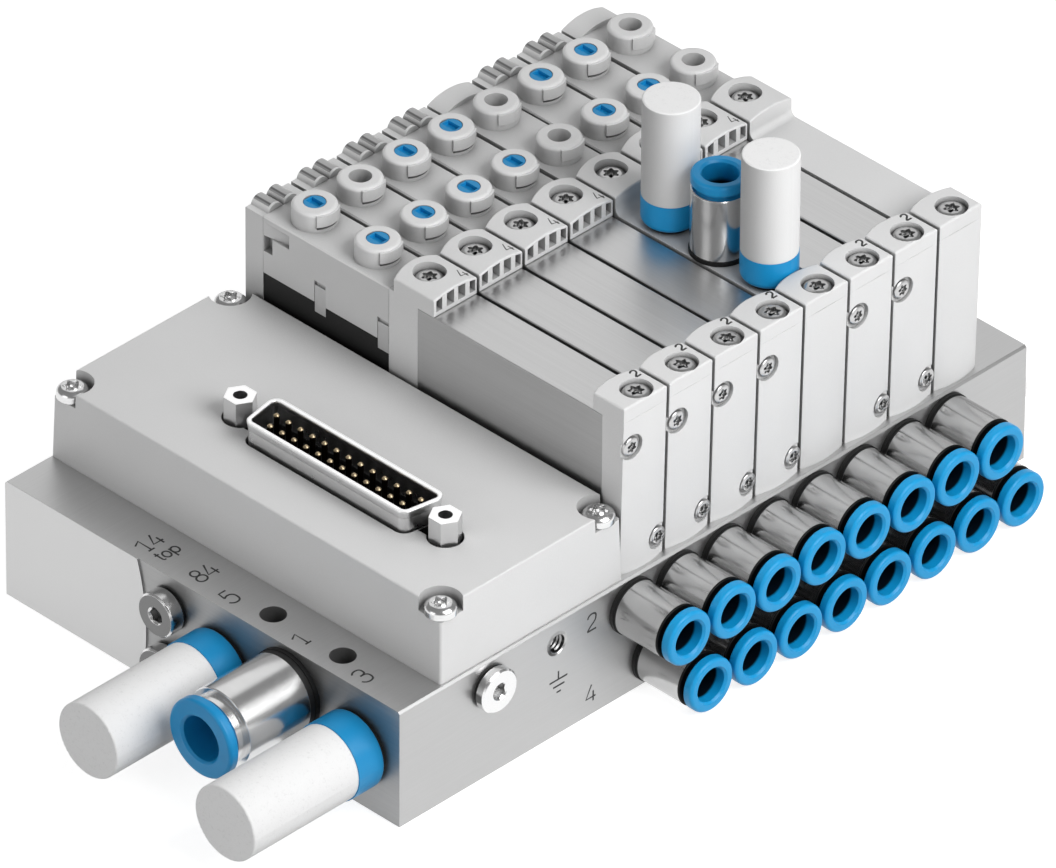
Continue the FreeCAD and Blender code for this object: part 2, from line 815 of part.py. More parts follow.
def silencers():
    found = []
    for inset in (channel_3_inset, channel_5_inset):
        found.append(Silencer(V(at_inset(inset), front_land, exhaust_height), -Y_AXIS, end_silencer_radius,
                              end_silencer_length, end_silencer_base, end_port_radius, end_silencer_collar,
                              end_silencer_foot_radius))
    for inset in (plate_port_insets()[0], plate_port_insets()[2]):
        found.append(Silencer(V(at_inset(inset), station_centre(supply_station), valve_deck_height), Z_AXIS,
                              top_silencer_radius, top_silencer_length, top_silencer_base, plate_port_radius,
                              top_silencer_collar, top_silencer_foot_radius))
    return found


class Plug:
    """A blanking plug: a chamfered head with a hexagon socket on a short threaded stud."""

    def __init__(self, base, direction, radius, head, port_radius):
        self.base = base
        self.direction = direction
        self.radius = radius
        self.head = head
        self.stud_radius = port_radius - thread_clearance

    def seal(self):
        outer = self.radius - plug_seal_margin
        return turned(((self.stud_radius, 0), (outer, 0), (outer, plug_seal), (self.stud_radius, plug_seal)),
                      self.base, self.direction)

    def body(self):
        face = plug_seal + self.head
        profile = ((0, -plug_stud), (self.stud_radius, -plug_stud), (self.stud_radius, plug_seal),
                   (self.radius, plug_seal), (self.radius, face - plug_edge), (self.radius - plug_edge, face),
                   (0, face))
        socket_radius = self.radius * socket_share
        mouth = socket_radius + plug_countersink
        floor = face - plug_socket_depth
        socket = hexagon_prism(socket_radius * math.sqrt(3), V(0, 0, floor), Z_AXIS,
                               plug_socket_depth + spill)
        countersink = revolved(((0, face - mouth), (mouth, face), (mouth, face + spill), (0, face + spill)))
        return placed(revolved(profile).cut([socket, countersink]), self.base, self.direction)


def plugs():
    pilots = (pilot_84_height, pilot_14_height)
    found = [Plug(V(at_inset(pilot_inset), front_land, height), -Y_AXIS, small_plug_radius, small_plug_head,
                  small_port_radius) for height in pilots]
    found += [Plug(V(at_inset(pilot_inset), back_land, height), Y_AXIS, small_plug_radius, small_plug_head,
                   small_port_radius) for height in pilots]
    for inset, height in ((channel_3_inset, exhaust_height), (channel_1_inset, supply_height),
                          (channel_5_inset, exhaust_height)):
        found.append(Plug(V(at_inset(inset), back_land, height), Y_AXIS, end_plug_radius, end_plug_head,
                          end_port_radius))
    found.append(Plug(V(work_face, at_reach(spare_port_reach), spare_port_height), X_AXIS, small_plug_radius,
                      spare_plug_head, small_port_radius))
    return found


def screw_cuts(middle):
    """The holes and the recesses of a station's two long screws."""
    cuts = []
    for x, y in valve_screw_places(middle):
        cuts.append(rod(screw_radius + screw_hole_gap, V(x, y, rail_height - spill), Z_AXIS,
                        cover_top - rail_height))
        cuts.append(rod(screw_recess_radius, V(x, y, screw_seat_height), Z_AXIS, cover_top))
    return cuts


def small_screw_places(middle):
    return ((middle + upper_screw_offset, cover_top - upper_screw_drop),
            (middle + lower_screw_offset, rail_height + lower_screw_rise))


def cover_front(height):
    """The inset of the port cover's front at one side, which leans out towards the rail."""
    share = (height - rail_height) / (cover_top - rail_height)
    return cover_front_bottom + share * (cover_front_top - cover_front_bottom)


def port_cover_block(middle, lip_bottom):
    """The tall cover: a leaning front that bulges at its foot, and a lip over the deck."""
    left, right = middle - half_station, middle + half_station
    foot, top, back = at_inset(cover_front_bottom), at_inset(cover_front_top), at_inset(cover_back)
    side = Part.makePolygon([V(back, left, rail_height), V(foot, left, rail_height), V(top, left, cover_top),
                             V(back, left, cover_top), V(back, left, rail_height)])
    column = Part.Face(side).extrude(V(0, station_width, 0))
    lip = round_ended_plan(middle, cover_back - spill, lip_end, arc_bulge, lip_bottom, cover_top)
    cover = column.fuse(lip).removeSplitter()
    rim = [edge for edge in cover.Edges if edge.BoundBox.ZMin > cover_top - touch]
    return cover.makeFillet(top_edge_radius, rim).fuse(foot_bulge(left, middle, right))


def foot_bulge(left, middle, right):
    """The bulge of a cover's front, an arc at the rail that fades out higher up."""
    def outline(height, bulge):
        front = at_inset(cover_front(height))
        arc = Part.Arc(V(front, left, height), V(front + bulge, middle, height),
                       V(front, right, height)).toShape()
        return Part.Wire([arc, Part.makeLine(V(front, right, height), V(front, left, height))])
    upper = outline(cover_top - cover_bulge_drop, cover_bulge_end)
    return Part.makeLoft([outline(rail_height, cover_front_bulge), upper], True, True)


def port_cover(number):
    middle = station_centre(number)
    cuts = screw_cuts(middle)
    for y, z in small_screw_places(middle):
        cuts.append(rod(small_recess_radius, V(at_inset(small_seat_inset), y, z), X_AXIS, small_seat_inset))
        cuts.append(rod(small_screw_radius + screw_hole_gap, V(at_inset(cover_back + spill), y, z), X_AXIS,
                        cover_back))
    return port_cover_block(middle, head_bottom).cut(cuts)


def cover_screws():
    profile = ((0, -small_screw_length), (small_screw_radius, -small_screw_length), (small_screw_radius, 0),
               (small_head_radius, 0), (small_head_radius, small_head_height * small_head_rim_share),
               (small_head_radius * small_head_crown_share, small_head_height), (0, small_head_height))
    socket = hexagon_prism(small_head_radius * small_socket_share, V(0, 0, small_socket_floor), Z_AXIS,
                           small_head_height)
    screw = revolved(profile).cut(socket)
    return group([placed(screw, V(at_inset(small_seat_inset), y, z), X_AXIS)
                  for number in valve_stations for y, z in small_screw_places(station_centre(number))])


def cap_block(middle, underside):
    """The cap: a column beside the valve body with an arched head over its deck."""
    column = inset_box((body_end, cap_end), across(middle, station_width), (rail_height, pilot_deck_height))
    plan = round_ended_plan(middle, cap_front, cap_end - arc_bulge, arc_bulge, underside,
                            cap_side_top + 2 * cap_rise)
    arch = arched_bar(middle, (cap_front, cap_end + spill), cap_side_top, cap_rise, underside)
    cap = column.fuse(plan.common(arch)).removeSplitter()
    rim = [edge for edge in cap.Edges if edge.BoundBox.ZMin > cap_side_top - touch]
    return cap.makeFillet(cap_edge_radius, rim)


def number_cap(number):
    """A cap with four slots in its front, whose tops follow its arch."""
    middle = station_centre(number)
    sill = valve_deck_height + cap_slot_sill
    slot_insets = (cap_front - spill, cap_front + cap_slot_depth)
    below_roof = arched_bar(middle, slot_insets, cap_side_top - cap_slot_roof, cap_rise, sill)
    sides = [across(middle + offset, width) for offset, width in cap_slots]
    slots = [inset_box(slot_insets, side, (sill, cap_side_top + cap_rise)).common(below_roof) for side in sides]
    return cap_block(middle, head_bottom).cut(screw_cuts(middle) + slots)


def valve_body(number):
    middle = station_centre(number)
    body = inset_box((cover_back, body_end), across(middle, station_width), (body_bottom, valve_deck_height))
    long_edges = [edge for edge in body.Edges
                  if edge.BoundBox.ZMin > valve_deck_height - touch
                  and edge.BoundBox.XLength > body_length / 2]
    body = body.makeChamfer(body_edge_chamfer, long_edges)
    cuts = [rod(spool_bore_radius, V(at_inset(body_end + spill), middle, spool_bore_height), X_AXIS,
                body_length + 2 * spill)]
    for x, y, radius in riser_places(middle):
        cuts.append(rod(radius, V(x, y, body_bottom - spill), Z_AXIS,
                        spool_bore_height - body_bottom + spill))
    thread_length = small_screw_length + small_seat_inset - cover_back + screw_hole_spare
    for y, z in small_screw_places(middle):
        cuts.append(rod(small_screw_radius + screw_hole_gap, V(at_inset(cover_back - spill), y, z), -X_AXIS,
                        thread_length + spill))
    return body.cut(cuts)


def valve_spool(number):
    land_radius = spool_bore_radius - spool_clearance
    pitch = (spool_length - spool_land_length) / (spool_land_count - 1)
    profile = [(0, 0)]
    for n in range(spool_land_count):
        start = n * pitch
        profile += [(land_radius, start), (land_radius, start + spool_land_length)]
        if n < spool_land_count - 1:
            profile += [(spool_neck_radius, start + spool_land_length), (spool_neck_radius, start + pitch)]
    profile.append((0, spool_length))
    start = V(at_inset(cover_back + spool_end_gap), station_centre(number), spool_bore_height)
    return turned(profile, start, -X_AXIS)


def dome_places(middle):
    """Where the two domes of a station stand, the outer one first."""
    return [V(at_inset(inset), middle + dome_offset, pilot_deck_height) for inset in dome_row_insets]


def dome(place):
    """A round boss with a rounded rim, and a lip on its work side."""
    height = dome_rise + dome_root
    boss = rounded(rod(dome_radius, V(0, 0, 0), Z_AXIS, height), dome_edge_radius, dome_radius, height)
    boss.translate(place - Z_AXIS * dome_root)
    lip_height = dome_rise - dome_edge_radius / 2 - dome_lip_rise
    lip = lip_sector(place, dome_lip_radius, dome_lip_rise, lip_height)
    return boss.fuse(lip)


def lip_sector(place, radius, rise, height):
    """A sector of a cylinder about a dome's axis, as wide as its lip and facing the work side."""
    sector = Part.makeCylinder(radius, height, place + Z_AXIS * rise, Z_AXIS, dome_lip_angle)
    sector.rotate(place, Z_AXIS, -dome_lip_angle / 2)
    return sector


def dome_bore(place):
    floor = place + Z_AXIS * (dome_rise - dome_bore_depth)
    return rod(dome_bore_radius, floor, Z_AXIS, dome_bore_depth + spill)


def dome_slot(place):
    """The slot under the lip, which the dome's core closes."""
    slot = lip_sector(place, dome_radius + spill, dome_lip_rise - dome_slot_height, dome_slot_height)
    return slot.cut(rod(dome_radius - dome_slot_depth, place, Z_AXIS, dome_rise))


def add_domes(block, places, slotted):
    block = block.fuse([dome(place) for place in places]).removeSplitter()
    cuts = [dome_bore(place) for place in places]
    if slotted:
        cuts += [dome_slot(place) for place in places]
    return block.cut(cuts)


def clip_insets():
    """The inset where each clip starts: next to the near end of each pilot's section."""
    return [cap_end + pilot_gap, cap_end + pilot_length + pilot_gap]


def clip_pockets(middle):
    side = middle - half_station
    depth = clip_thickness + 2 * clip_gap
    return [inset_box((inset, inset + clip_width), (side - spill, side + depth),
                      (clip_bottom, clip_bottom + clip_slot_length)) for inset in clip_insets()]


def pilot_housing(number):
    """The housing of both pilots with its domes, and the end block that holds the light pipes."""
    middle = station_centre(number)
    side = across(middle, station_width)
    block = inset_box((cap_end + pilot_gap / 2, pilot_end - pilot_gap / 2), side,
                      (pilot_bottom, pilot_deck_height))
    long_edges = [edge for edge in block.Edges
                  if edge.BoundBox.ZMin > pilot_deck_height - touch and edge.BoundBox.XLength > pilot_length]
    block = block.makeChamfer(pilot_edge_chamfer, long_edges)
    housing = add_domes(block, dome_places(middle), True).cut(clip_pockets(middle) + side_pockets(middle))
    end = inset_box((pilot_end, station_end), side, (rail_height, pilot_deck_height - end_block_drop))
    ridges = [ridge(middle + offset) for offset in pipe_offsets]
    windows = [pipe_window(middle + offset, pipe_width) for offset in pipe_offsets]
    return [housing, end.fuse(ridges).removeSplitter().cut(windows)]


def ridge(y):
    return rod(pipe_ridge_radius, V(at_inset(station_end), y, pipe_ridge_centre), X_AXIS, end_block_length)


def pipe_window(y, width):
    top = pipe_ridge_centre + pipe_ridge_radius
    return inset_box((station_end + spill, station_end - pipe_length), across(y, width),
                     (top - pipe_depth, top + spill))


def light_pipe(y):
    """A smoked bar whose crown follows the ridge that it lies in."""
    width = pipe_width - 2 * pipe_gap
    bottom = pipe_ridge_centre + pipe_ridge_radius - pipe_depth
    bar = inset_box((station_end, station_end - pipe_length), across(y, width),
                    (bottom, pipe_ridge_centre + pipe_bar_rise))
    crown = ridge(y).common(pipe_window(y, width)).common(bar_space(y))
    return bar.fuse(crown).removeSplitter()


def bar_space(y):
    """The room of a light pipe's crown: above the ridge's centre, as long as the pipe."""
    return inset_box((station_end, station_end - pipe_length), across(y, pipe_width),
                     (pipe_ridge_centre, pipe_ridge_centre + pipe_ridge_radius))


def side_pockets(middle):
    """An upper pocket whose floor rises towards the far end, and a small window below it."""
    side = middle - half_station
    top = pilot_deck_height - side_pocket_drop
    bottom = top - side_pocket_height
    near = at_inset(pilot_end - side_pocket_setback)
    far = near + side_pocket_length
    outline = Part.makePolygon([V(near, side - spill, bottom), V(near, side, bottom),
                                V(far, side + side_pocket_depth, bottom), V(far, side - spill, bottom),
                                V(near, side - spill, bottom)])
    ramp = Part.Face(outline).extrude(V(0, 0, side_pocket_height))
    start = pilot_end - side_window_setback
    window = inset_box((start, start - side_window_length), (side - spill, side + side_window_depth),
                       (bottom - side_window_height, bottom))
    return [ramp, window]


def contact_block(number):
    middle = station_centre(number)
    block = inset_box((cap_end + pilot_gap / 2, pilot_end - pilot_gap / 2),
                      across(middle, station_width - 2 * block_side_gap), (rail_height, pilot_bottom))
    return block.cut(clip_pockets(middle))


def retaining_clips(number):
    """Steel tabs that tie the pilot housing to the contact block."""
    side = station_centre(number) - half_station + 2 * clip_gap
    return [inset_box((inset + clip_gap, inset + clip_width - clip_gap), (side, side + clip_thickness),
                      (clip_bottom, clip_bottom + clip_length)) for inset in clip_insets()]


def plunger(place):
    """A blue disc with a slot for a screwdriver."""
    radius = dome_bore_radius - plunger_clearance
    bottom = place + Z_AXIS * (dome_rise - dome_bore_depth + plunger_travel + plunger_bottom_gap)
    top = place + Z_AXIS * (dome_rise - plunger_recess)
    slot = box(across(place.x, 2 * dome_radius), across(place.y, plunger_slot_width),
               (top.z - plunger_slot_depth, top.z + spill))
    return rod(radius, bottom, Z_AXIS, top.z - bottom.z).cut(slot)


def one_piece_plate(number):
    """A moulded plate with the outline of a whole valve, its domes hollow and its cap unslotted."""
    middle = station_centre(number)
    side = across(middle, station_width)
    below_deck = valve_deck_height - spill
    deck = inset_box((cover_back, body_end), side, (body_bottom, valve_deck_height))
    pilots = inset_box((body_end, pilot_end), side, (rail_height, pilot_deck_height))
    end = arched_bar(middle, (pilot_end, station_end), pilot_deck_height - end_arch_drop, end_arch_rise,
                     rail_height)
    block = deck.fuse([pilots, end, cap_block(middle, below_deck), port_cover_block(middle, below_deck)])
    block = block.removeSplitter()
    corner = [edge for edge in block.Edges
              if abs(edge.BoundBox.ZMin - valve_deck_height) < touch
              and abs(edge.BoundBox.XMin - at_inset(cap_front)) < touch
              and edge.BoundBox.XLength < touch and edge.BoundBox.ZLength < touch]
    block = block.makeFillet(plate_blend_radius, corner)
    return add_domes(block.cut(screw_cuts(middle)), dome_places(middle), False)


def supply_plate():
    middle = station_centre(supply_station)
    cuts = []
    rail_insets = (channel_3_inset, channel_1_inset, channel_5_inset)
    for port_inset, rail_inset in zip(plate_port_insets(), rail_insets):
        x = at_inset(port_inset)
        floor = valve_deck_height - plate_port_depth
        cuts.append(rod(plate_port_radius, V(x, middle, floor), Z_AXIS, plate_port_depth + spill))
        cuts.append(rod(riser_radius, V(at_inset(rail_inset), middle, body_bottom - spill), Z_AXIS,
                        floor - body_bottom + spill + riser_radius))
        if abs(port_inset - rail_inset) > riser_radius:
            start, end = sorted((x, at_inset(rail_inset)))
            cuts.append(rod(riser_radius, V(start, middle, floor), X_AXIS, end - start))
    return one_piece_plate(supply_station).cut(cuts)


def build():
    parts["manifold_rail"] = manifold_rail()
    parts["multipin_housing"] = multipin_housing()
    parts["fixing_screws"] = fixing_screws()
    parts["circuit_board"] = circuit_board()
    parts["connector_shell"] = connector_shell()
    parts["connector_insulator"] = connector_insulator()
    parts["connector_pins"] = connector_pins()
    parts["connector_standoffs"] = connector_standoffs()

    every_fitting, every_silencer, every_plug = fittings(), silencers(), plugs()
    parts["fitting_bodies"] = group([fitting.body() for fitting in every_fitting])
    parts["tube_seals"] = group([fitting.tube_seal() for fitting in every_fitting])
    parts["silencer_bases"] = group([silencer.holder() for silencer in every_silencer])
    parts["silencer_elements"] = group([silencer.element() for silencer in every_silencer])
    parts["blanking_plugs"] = group([plug.body() for plug in every_plug])
    parts["port_seals"] = group([piece.seal() for piece in every_fitting + every_silencer + every_plug])
    for fitting in every_fitting:
        parts["release_ring_" + fitting.name] = fitting.ring()

    parts["supply_plate"] = supply_plate()
    parts["blanking_plate"] = one_piece_plate(blanking_station)
    parts["valve_gaskets"] = group([gasket(number) for number in range(1, station_count + 1)])
    parts["valve_bodies"] = group([valve_body(number) for number in valve_stations])
    parts["port_covers"] = group([port_cover(number) for number in valve_stations])
    parts["number_caps"] = group([number_cap(number) for number in valve_stations])
    parts["cover_screws"] = cover_screws()
    parts["pilot_housings"] = group([solid for number in valve_stations for solid in pilot_housing(number)])
    parts["contact_blocks"] = group([contact_block(number) for number in valve_stations])
    parts["retaining_clips"] = group([clip for number in valve_stations for clip in retaining_clips(number)])
    parts["light_pipes"] = group([light_pipe(station_centre(number) + offset)
                                  for number in valve_stations for offset in pipe_offsets])
    for number in valve_stations:
        parts["valve_spool_%d" % number] = valve_spool(number)
        places = dome_places(station_centre(number))
        rows = (2,) if number in single_pilot_stations else (1, 2)
        for row in rows:
            parts["override_plunger_%d_%d" % (number, row)] = plunger(places[row - 1])


build()
os.makedirs("parts", exist_ok=True)
for node, shape in parts.items():
    shape.exportStep("parts/%s.step" % node)
print(len(parts), "nodes written")
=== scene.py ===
import math

import bmesh
import bpy
from mathutils import Matrix, Vector


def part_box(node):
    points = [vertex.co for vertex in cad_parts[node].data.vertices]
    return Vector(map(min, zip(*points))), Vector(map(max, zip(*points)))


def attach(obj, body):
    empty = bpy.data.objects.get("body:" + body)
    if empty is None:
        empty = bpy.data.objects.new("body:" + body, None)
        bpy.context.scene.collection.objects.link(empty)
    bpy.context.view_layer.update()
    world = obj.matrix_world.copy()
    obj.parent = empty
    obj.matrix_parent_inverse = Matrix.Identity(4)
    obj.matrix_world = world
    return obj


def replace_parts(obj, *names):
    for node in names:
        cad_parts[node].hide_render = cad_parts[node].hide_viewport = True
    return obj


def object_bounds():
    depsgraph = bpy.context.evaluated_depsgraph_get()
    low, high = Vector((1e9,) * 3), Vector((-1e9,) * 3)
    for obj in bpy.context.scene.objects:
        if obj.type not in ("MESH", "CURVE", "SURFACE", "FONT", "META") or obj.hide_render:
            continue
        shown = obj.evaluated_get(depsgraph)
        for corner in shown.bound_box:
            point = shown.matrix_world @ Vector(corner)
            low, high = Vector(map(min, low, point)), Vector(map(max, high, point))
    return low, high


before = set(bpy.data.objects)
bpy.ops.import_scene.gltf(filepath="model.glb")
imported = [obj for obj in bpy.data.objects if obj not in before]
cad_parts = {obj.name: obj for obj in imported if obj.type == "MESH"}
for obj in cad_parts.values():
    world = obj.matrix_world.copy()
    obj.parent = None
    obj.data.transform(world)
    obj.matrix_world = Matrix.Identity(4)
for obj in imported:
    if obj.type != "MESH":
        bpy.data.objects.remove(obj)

# Looks of the pneumatic valve island. Lengths are in metres, in the frame of the solids:
# X points to the work ports, Y along the rail away from the multipin connector, Z up.

MM = 0.001
WHITE = (1.0, 1.0, 1.0, 1.0)
SOLID_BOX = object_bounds()
RAIL_LOW, RAIL_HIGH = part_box("manifold_rail")
WORK_FACE = RAIL_HIGH.x
RAIL_TOP = RAIL_HIGH.z
LAND_DEPTH = 0.3 * MM
FRONT_LAND = RAIL_LOW.y + LAND_DEPTH

# Stations
STATION_PITCH = 10.5 * MM
FIRST_STATION = -16.1 * MM
VALVE_STATIONS = (1, 2, 3, 4, 6, 7)

# The photograph's camera
PHOTO_WIDTH = 1056
CAMERA_PLACE = Vector((1.70936, -1.73514, 1.74193))
CAMERA_AZIMUTH = math.radians(44.537)
CAMERA_ELEVATION = math.radians(35.284)
CAMERA_ROLL = math.radians(0.411)
CAMERA_FOCAL_PIXELS = 18197.8
SENSOR_WIDTH = 36.0

# Pan-head screws. A share is of the head's radius, and the rim's is of the head's height.
# Lobe depth, lip, floor and point are shares of the recess's radius.
SCREW_SIDES = 48
CROWN_STEPS = 6
LOBES = 6
LOBE_DEPTH = 0.34
RECESS_SHARE = 0.60
RECESS_DEPTH_SHARE = 0.40
RECESS_LIP = 1.12
RECESS_FLOOR = 0.93
RECESS_POINT = 0.3
RECESS_POINT_DEPTH = 0.15 * MM
RIM_HEIGHT_SHARE = 0.42
SCREW_EDGE = 0.06 * MM
SCREW_SHANK = 1.2 * MM
SMALL_SHANK = 0.9 * MM
HOUSING_HEAD_HEIGHT = 2.3 * MM
VALVE_HEAD_HEIGHT = 1.2 * MM
SMALL_HEAD_HEIGHT = 0.9 * MM
HOUSING_HEAD_LEAST = 2.6 * MM
TIP_SHARE = 0.5

# Radians that a screw is turned for each metre of its place along Y, so that no two recesses lie alike
SCREW_TURNING = 900

# Corners of a solid nearer than this are one corner
SAME_CORNER = 0.002 * MM

# Thread of the earth hole
EARTH_HOLE = Vector((WORK_FACE, -37.0 * MM, 18.2 * MM))
EARTH_RADIUS = 1.65 * MM
EARTH_SINK_RADIUS = 2.35 * MM
EARTH_DEPTH = 8 * MM
THREAD_PITCH = 0.7 * MM
THREAD_DEPTH = 0.26 * MM
THREAD_TURNS = 6
THREAD_STEPS = 36
THREAD_START = 0.75 * MM
THREAD_ROOT_HALF = 0.46 * THREAD_PITCH
THREAD_CREST_HALF = 0.06 * MM
THREAD_BITE = 0.05 * MM

# The connector's D outline as the solid has it, and its rolled rim's section:
# how far each corner lies outward, and how far above the shell's top, in millimetres
SHELL_LENGTH, SHELL_WIDTH, SHELL_CORNER = 39.3 * MM, 8.4 * MM, 1.6 * MM
SHELL_SLOPE = math.radians(10.0)
RIM_STEPS = 8
RIM_SECTION = ((0.02, -1.30), (0.24, -0.20), (0.24, 0.08), (0.14, 0.20),
               (-0.60, 0.20), (-0.72, 0.08), (-0.72, -0.80))

# Floor of the slot in an override plunger, and the blocks that close its ends. The step is a share of how far
# out a block stands, and keeps its faces from lying on the floor's.
TONGUE_WIDTH = 1.56 * MM
TONGUE_HEIGHT = 0.72 * MM
TONGUE_DROP = 0.72 * MM
TONGUE_END = 0.34 * MM
TONGUE_END_DROP = 0.04 * MM
TONGUE_GAP = 0.02 * MM
TONGUE_STEP = 0.02

# Edges sharper than this stay sharp, in degrees
SHARP_EDGE = 32.0
SHARP_CORNER = 60.0

# Bevels that the shading gives to edges, and how far the painted shade of gaps looks for walls round a gap
EDGE = 0.15 * MM
FINE_EDGE = 0.12 * MM
NARROW_GAP = 1.8 * MM
WIDE_GAP = 9 * MM

# Where the finish of a piece, or the painted shade on it, changes: distances from the work face, the front
# land or a piece's top
COLLAR_END = 1.20 * MM
BODY_MOUTH = 10.22 * MM
RING_COLLAR, RING_FACE = 11.0 * MM, 11.6 * MM
TOP_RING_DEEP, TOP_RING_FACE = 4.2 * MM, 3.0 * MM
SUPPLY_COLLAR = 2.0 * MM
PIN_SHAFT, PIN_TIP = 0.50 * MM, 0.22 * MM
POCKET_DARK, POCKET_EDGE = 0.6 * MM, 0.2 * MM
HOLES_END = -62 * MM
SUPPLY_FITTING_TOP = 30 * MM
DECK_LEVEL = 50 * MM

# Floor and room
FLOOR_HALF = 3.0
FLOOR_LIFT = 0.82
ROOM_GREY = (0.26, 0.26, 0.26, 1)
BAND_TOP, ROOM_FOOT = 0.10, 0.26

# Each lamp: its name, where it stands, where it points, the side of its square, its power
LAMPS = (
    ("right_panel", (0.34, 0.02, 0.32), (0, 0, 0.04), 0.30, 1.62),
    ("back_panel", (-0.6, 0.6, 0.75), (0, 0, 0.04), 0.9, 1.7),
    ("front_panel", (-0.12, -0.9, 0.35), (0, 0, 0.03), 0.5, 1.2),
)


def grey(level):
    """A linear grey from a level as a screen shows it, 0 to 1."""
    return colour(level, level, level)


def colour(red, green, blue):
    """A linear colour from levels as a screen shows them, 0 to 1."""
    return tuple(((c + 0.055) / 1.055) ** 2.4 for c in (red, green, blue)) + (1.0,)


def station(number):
    """The middle of a station, along Y."""
    return FIRST_STATION + (number - 1) * STATION_PITCH


class Wire:
    """An output socket of a shader. Arithmetic on it adds Math nodes."""

    def __init__(self, shader, socket):
        self.shader = shader
        self.socket = socket

    def maths(self, operation, *values):
        """The result of a Math node."""
        node = self.shader.node("ShaderNodeMath", {"operation": operation}, dict(enumerate(values)))
        return node["Value"]

    def __add__(self, other):
        return self.maths("ADD", self, other)

    __radd__ = __add__

    def __sub__(self, other):
        return self.maths("SUBTRACT", self, other)

    def __rsub__(self, other):
        return self.maths("SUBTRACT", other, self)

    def __mul__(self, other):
        return self.maths("MULTIPLY", self, other)

    __rmul__ = __mul__

    def absolute(self):
        """The number without its sign."""
        return self.maths("ABSOLUTE", self)

    def larger(self, other):
        """The larger of two numbers."""
        return self.maths("MAXIMUM", self, other)

    def step(self, low, high):
        """0 below low, 1 above high, and a smooth rise between."""
        return self.shader.node("ShaderNodeMapRange", {"interpolation_type": "SMOOTHSTEP"},
                                {"Value": self, "From Min": low, "From Max": high})["Result"]


class Outputs:
    """A node's output sockets by name or number, each as a Wire."""

    def __init__(self, shader, node):
        self.shader = shader
        self.node = node

    def __getitem__(self, key):
        return Wire(self.shader, self.node.outputs[key])


class Shader:
    """The node tree of one material or of the world."""

    def __init__(self, owner):
        owner.use_nodes = True
        self.owner = owner
        self.tree = owner.node_tree
        self.tree.nodes.clear()

    def node(self, kind, settings=None, inputs=None):
        """The outputs of a new node. Its inputs are named or numbered, and each is a Wire or a constant."""
        made = self.tree.nodes.new(kind)
        for key, value in (settings or {}).items():
            setattr(made, key, value)
        for key, value in (inputs or {}).items():
            if isinstance(value, Wire):
                self.tree.links.new(value.socket, made.inputs[key])
            else:
                made.inputs[key].default_value = value
        return Outputs(self, made)

    def mix(self, factor, first, second):
        """A colour between two colours."""
        return self.node("ShaderNodeMix", {"data_type": "RGBA"}, {0: factor, 6: first, 7: second})[2]

    def place(self, scale, centre=(0, 0, 0)):
        """Object coordinates about a centre, times a scale."""
        spot = self.node("ShaderNodeTexCoord")["Object"]
        moved = self.node("ShaderNodeVectorMath", {"operation": "SUBTRACT"}, {0: spot, 1: centre})["Vector"]
        return self.node("ShaderNodeVectorMath", {"operation": "MULTIPLY"}, {0: moved, 1: scale})["Vector"]

    def axes(self):
        """The object coordinates X, Y and Z, each as a number."""
        parts = self.node("ShaderNodeSeparateXYZ", None, {0: self.node("ShaderNodeTexCoord")["Object"]})
        return parts["X"], parts["Y"], parts["Z"]

    def facing(self):
        """How far the surface faces X, Y and Z, each from -1 to 1."""
        normal = self.node("ShaderNodeTexCoord")["Normal"]
        parts = self.node("ShaderNodeSeparateXYZ", None, {0: normal})
        return parts["X"], parts["Y"], parts["Z"]

    def distance(self, centre, scale):
        """How far a point is from a centre, with its axes scaled first."""
        moved = self.place(scale, centre)
        return self.node("ShaderNodeVectorMath", {"operation": "LENGTH"}, {0: moved})["Value"]

    def openness(self, reach, low, high):
        """0 in narrow gaps and pockets, 1 where nothing stands within a reach; the materials use it to paint
        shade.
        """
        found = self.node("ShaderNodeAmbientOcclusion", {"samples": 6}, {"Distance": reach})["AO"]
        return found.step(low, high)

    def noise(self, grain, detail=2.0, rough=0.5, stretch=(1, 1, 1)):
        """Noise from 0 to 1 whose blobs are about one grain wide, in metres, times the stretch."""
        scale = tuple(1 / (grain * s) for s in stretch)
        return self.node("ShaderNodeTexNoise", {"noise_dimensions": "3D"},
                         {"Vector": self.place(scale), "Scale": 1.0, "Detail": detail, "Roughness": rough})[0]

    def cells(self, size, feature="F1"):
        """Distance to the nearest of random points about one size apart."""
        return self.node("ShaderNodeTexVoronoi", {"feature": feature},
                         {"Vector": self.place((1 / size,) * 3), "Scale": 1.0})["Distance"]

    def soft_edges(self, radius):
        """A normal that rounds sharp edges by a radius."""
        return self.node("ShaderNodeBevel", {"samples": 4}, {"Radius": radius})["Normal"]

    def bump(self, height, depth, edge=0.0, under=None):
        """A normal from a height between 0 and 1 and its depth in metres, over soft edges or a bump."""
        inputs = {"Height": height, "Distance": depth, "Strength": 1.0}
        if edge:
            inputs["Normal"] = self.soft_edges(edge)
        if under:
            inputs["Normal"] = under
        return self.node("ShaderNodeBump", None, inputs)["Normal"]

    def principled(self, **sockets):
        """The finished surface, from a Principled BSDF."""
        names = {key.replace("_", " "): value for key, value in sockets.items()}
        surface = self.node("ShaderNodeBsdfPrincipled", None, names)["BSDF"]
        self.node("ShaderNodeOutputMaterial", None, {"Surface": surface})
        return self.owner


def shader(name):
    """The node tree of a new material."""
    return Shader(bpy.data.materials.new(name))


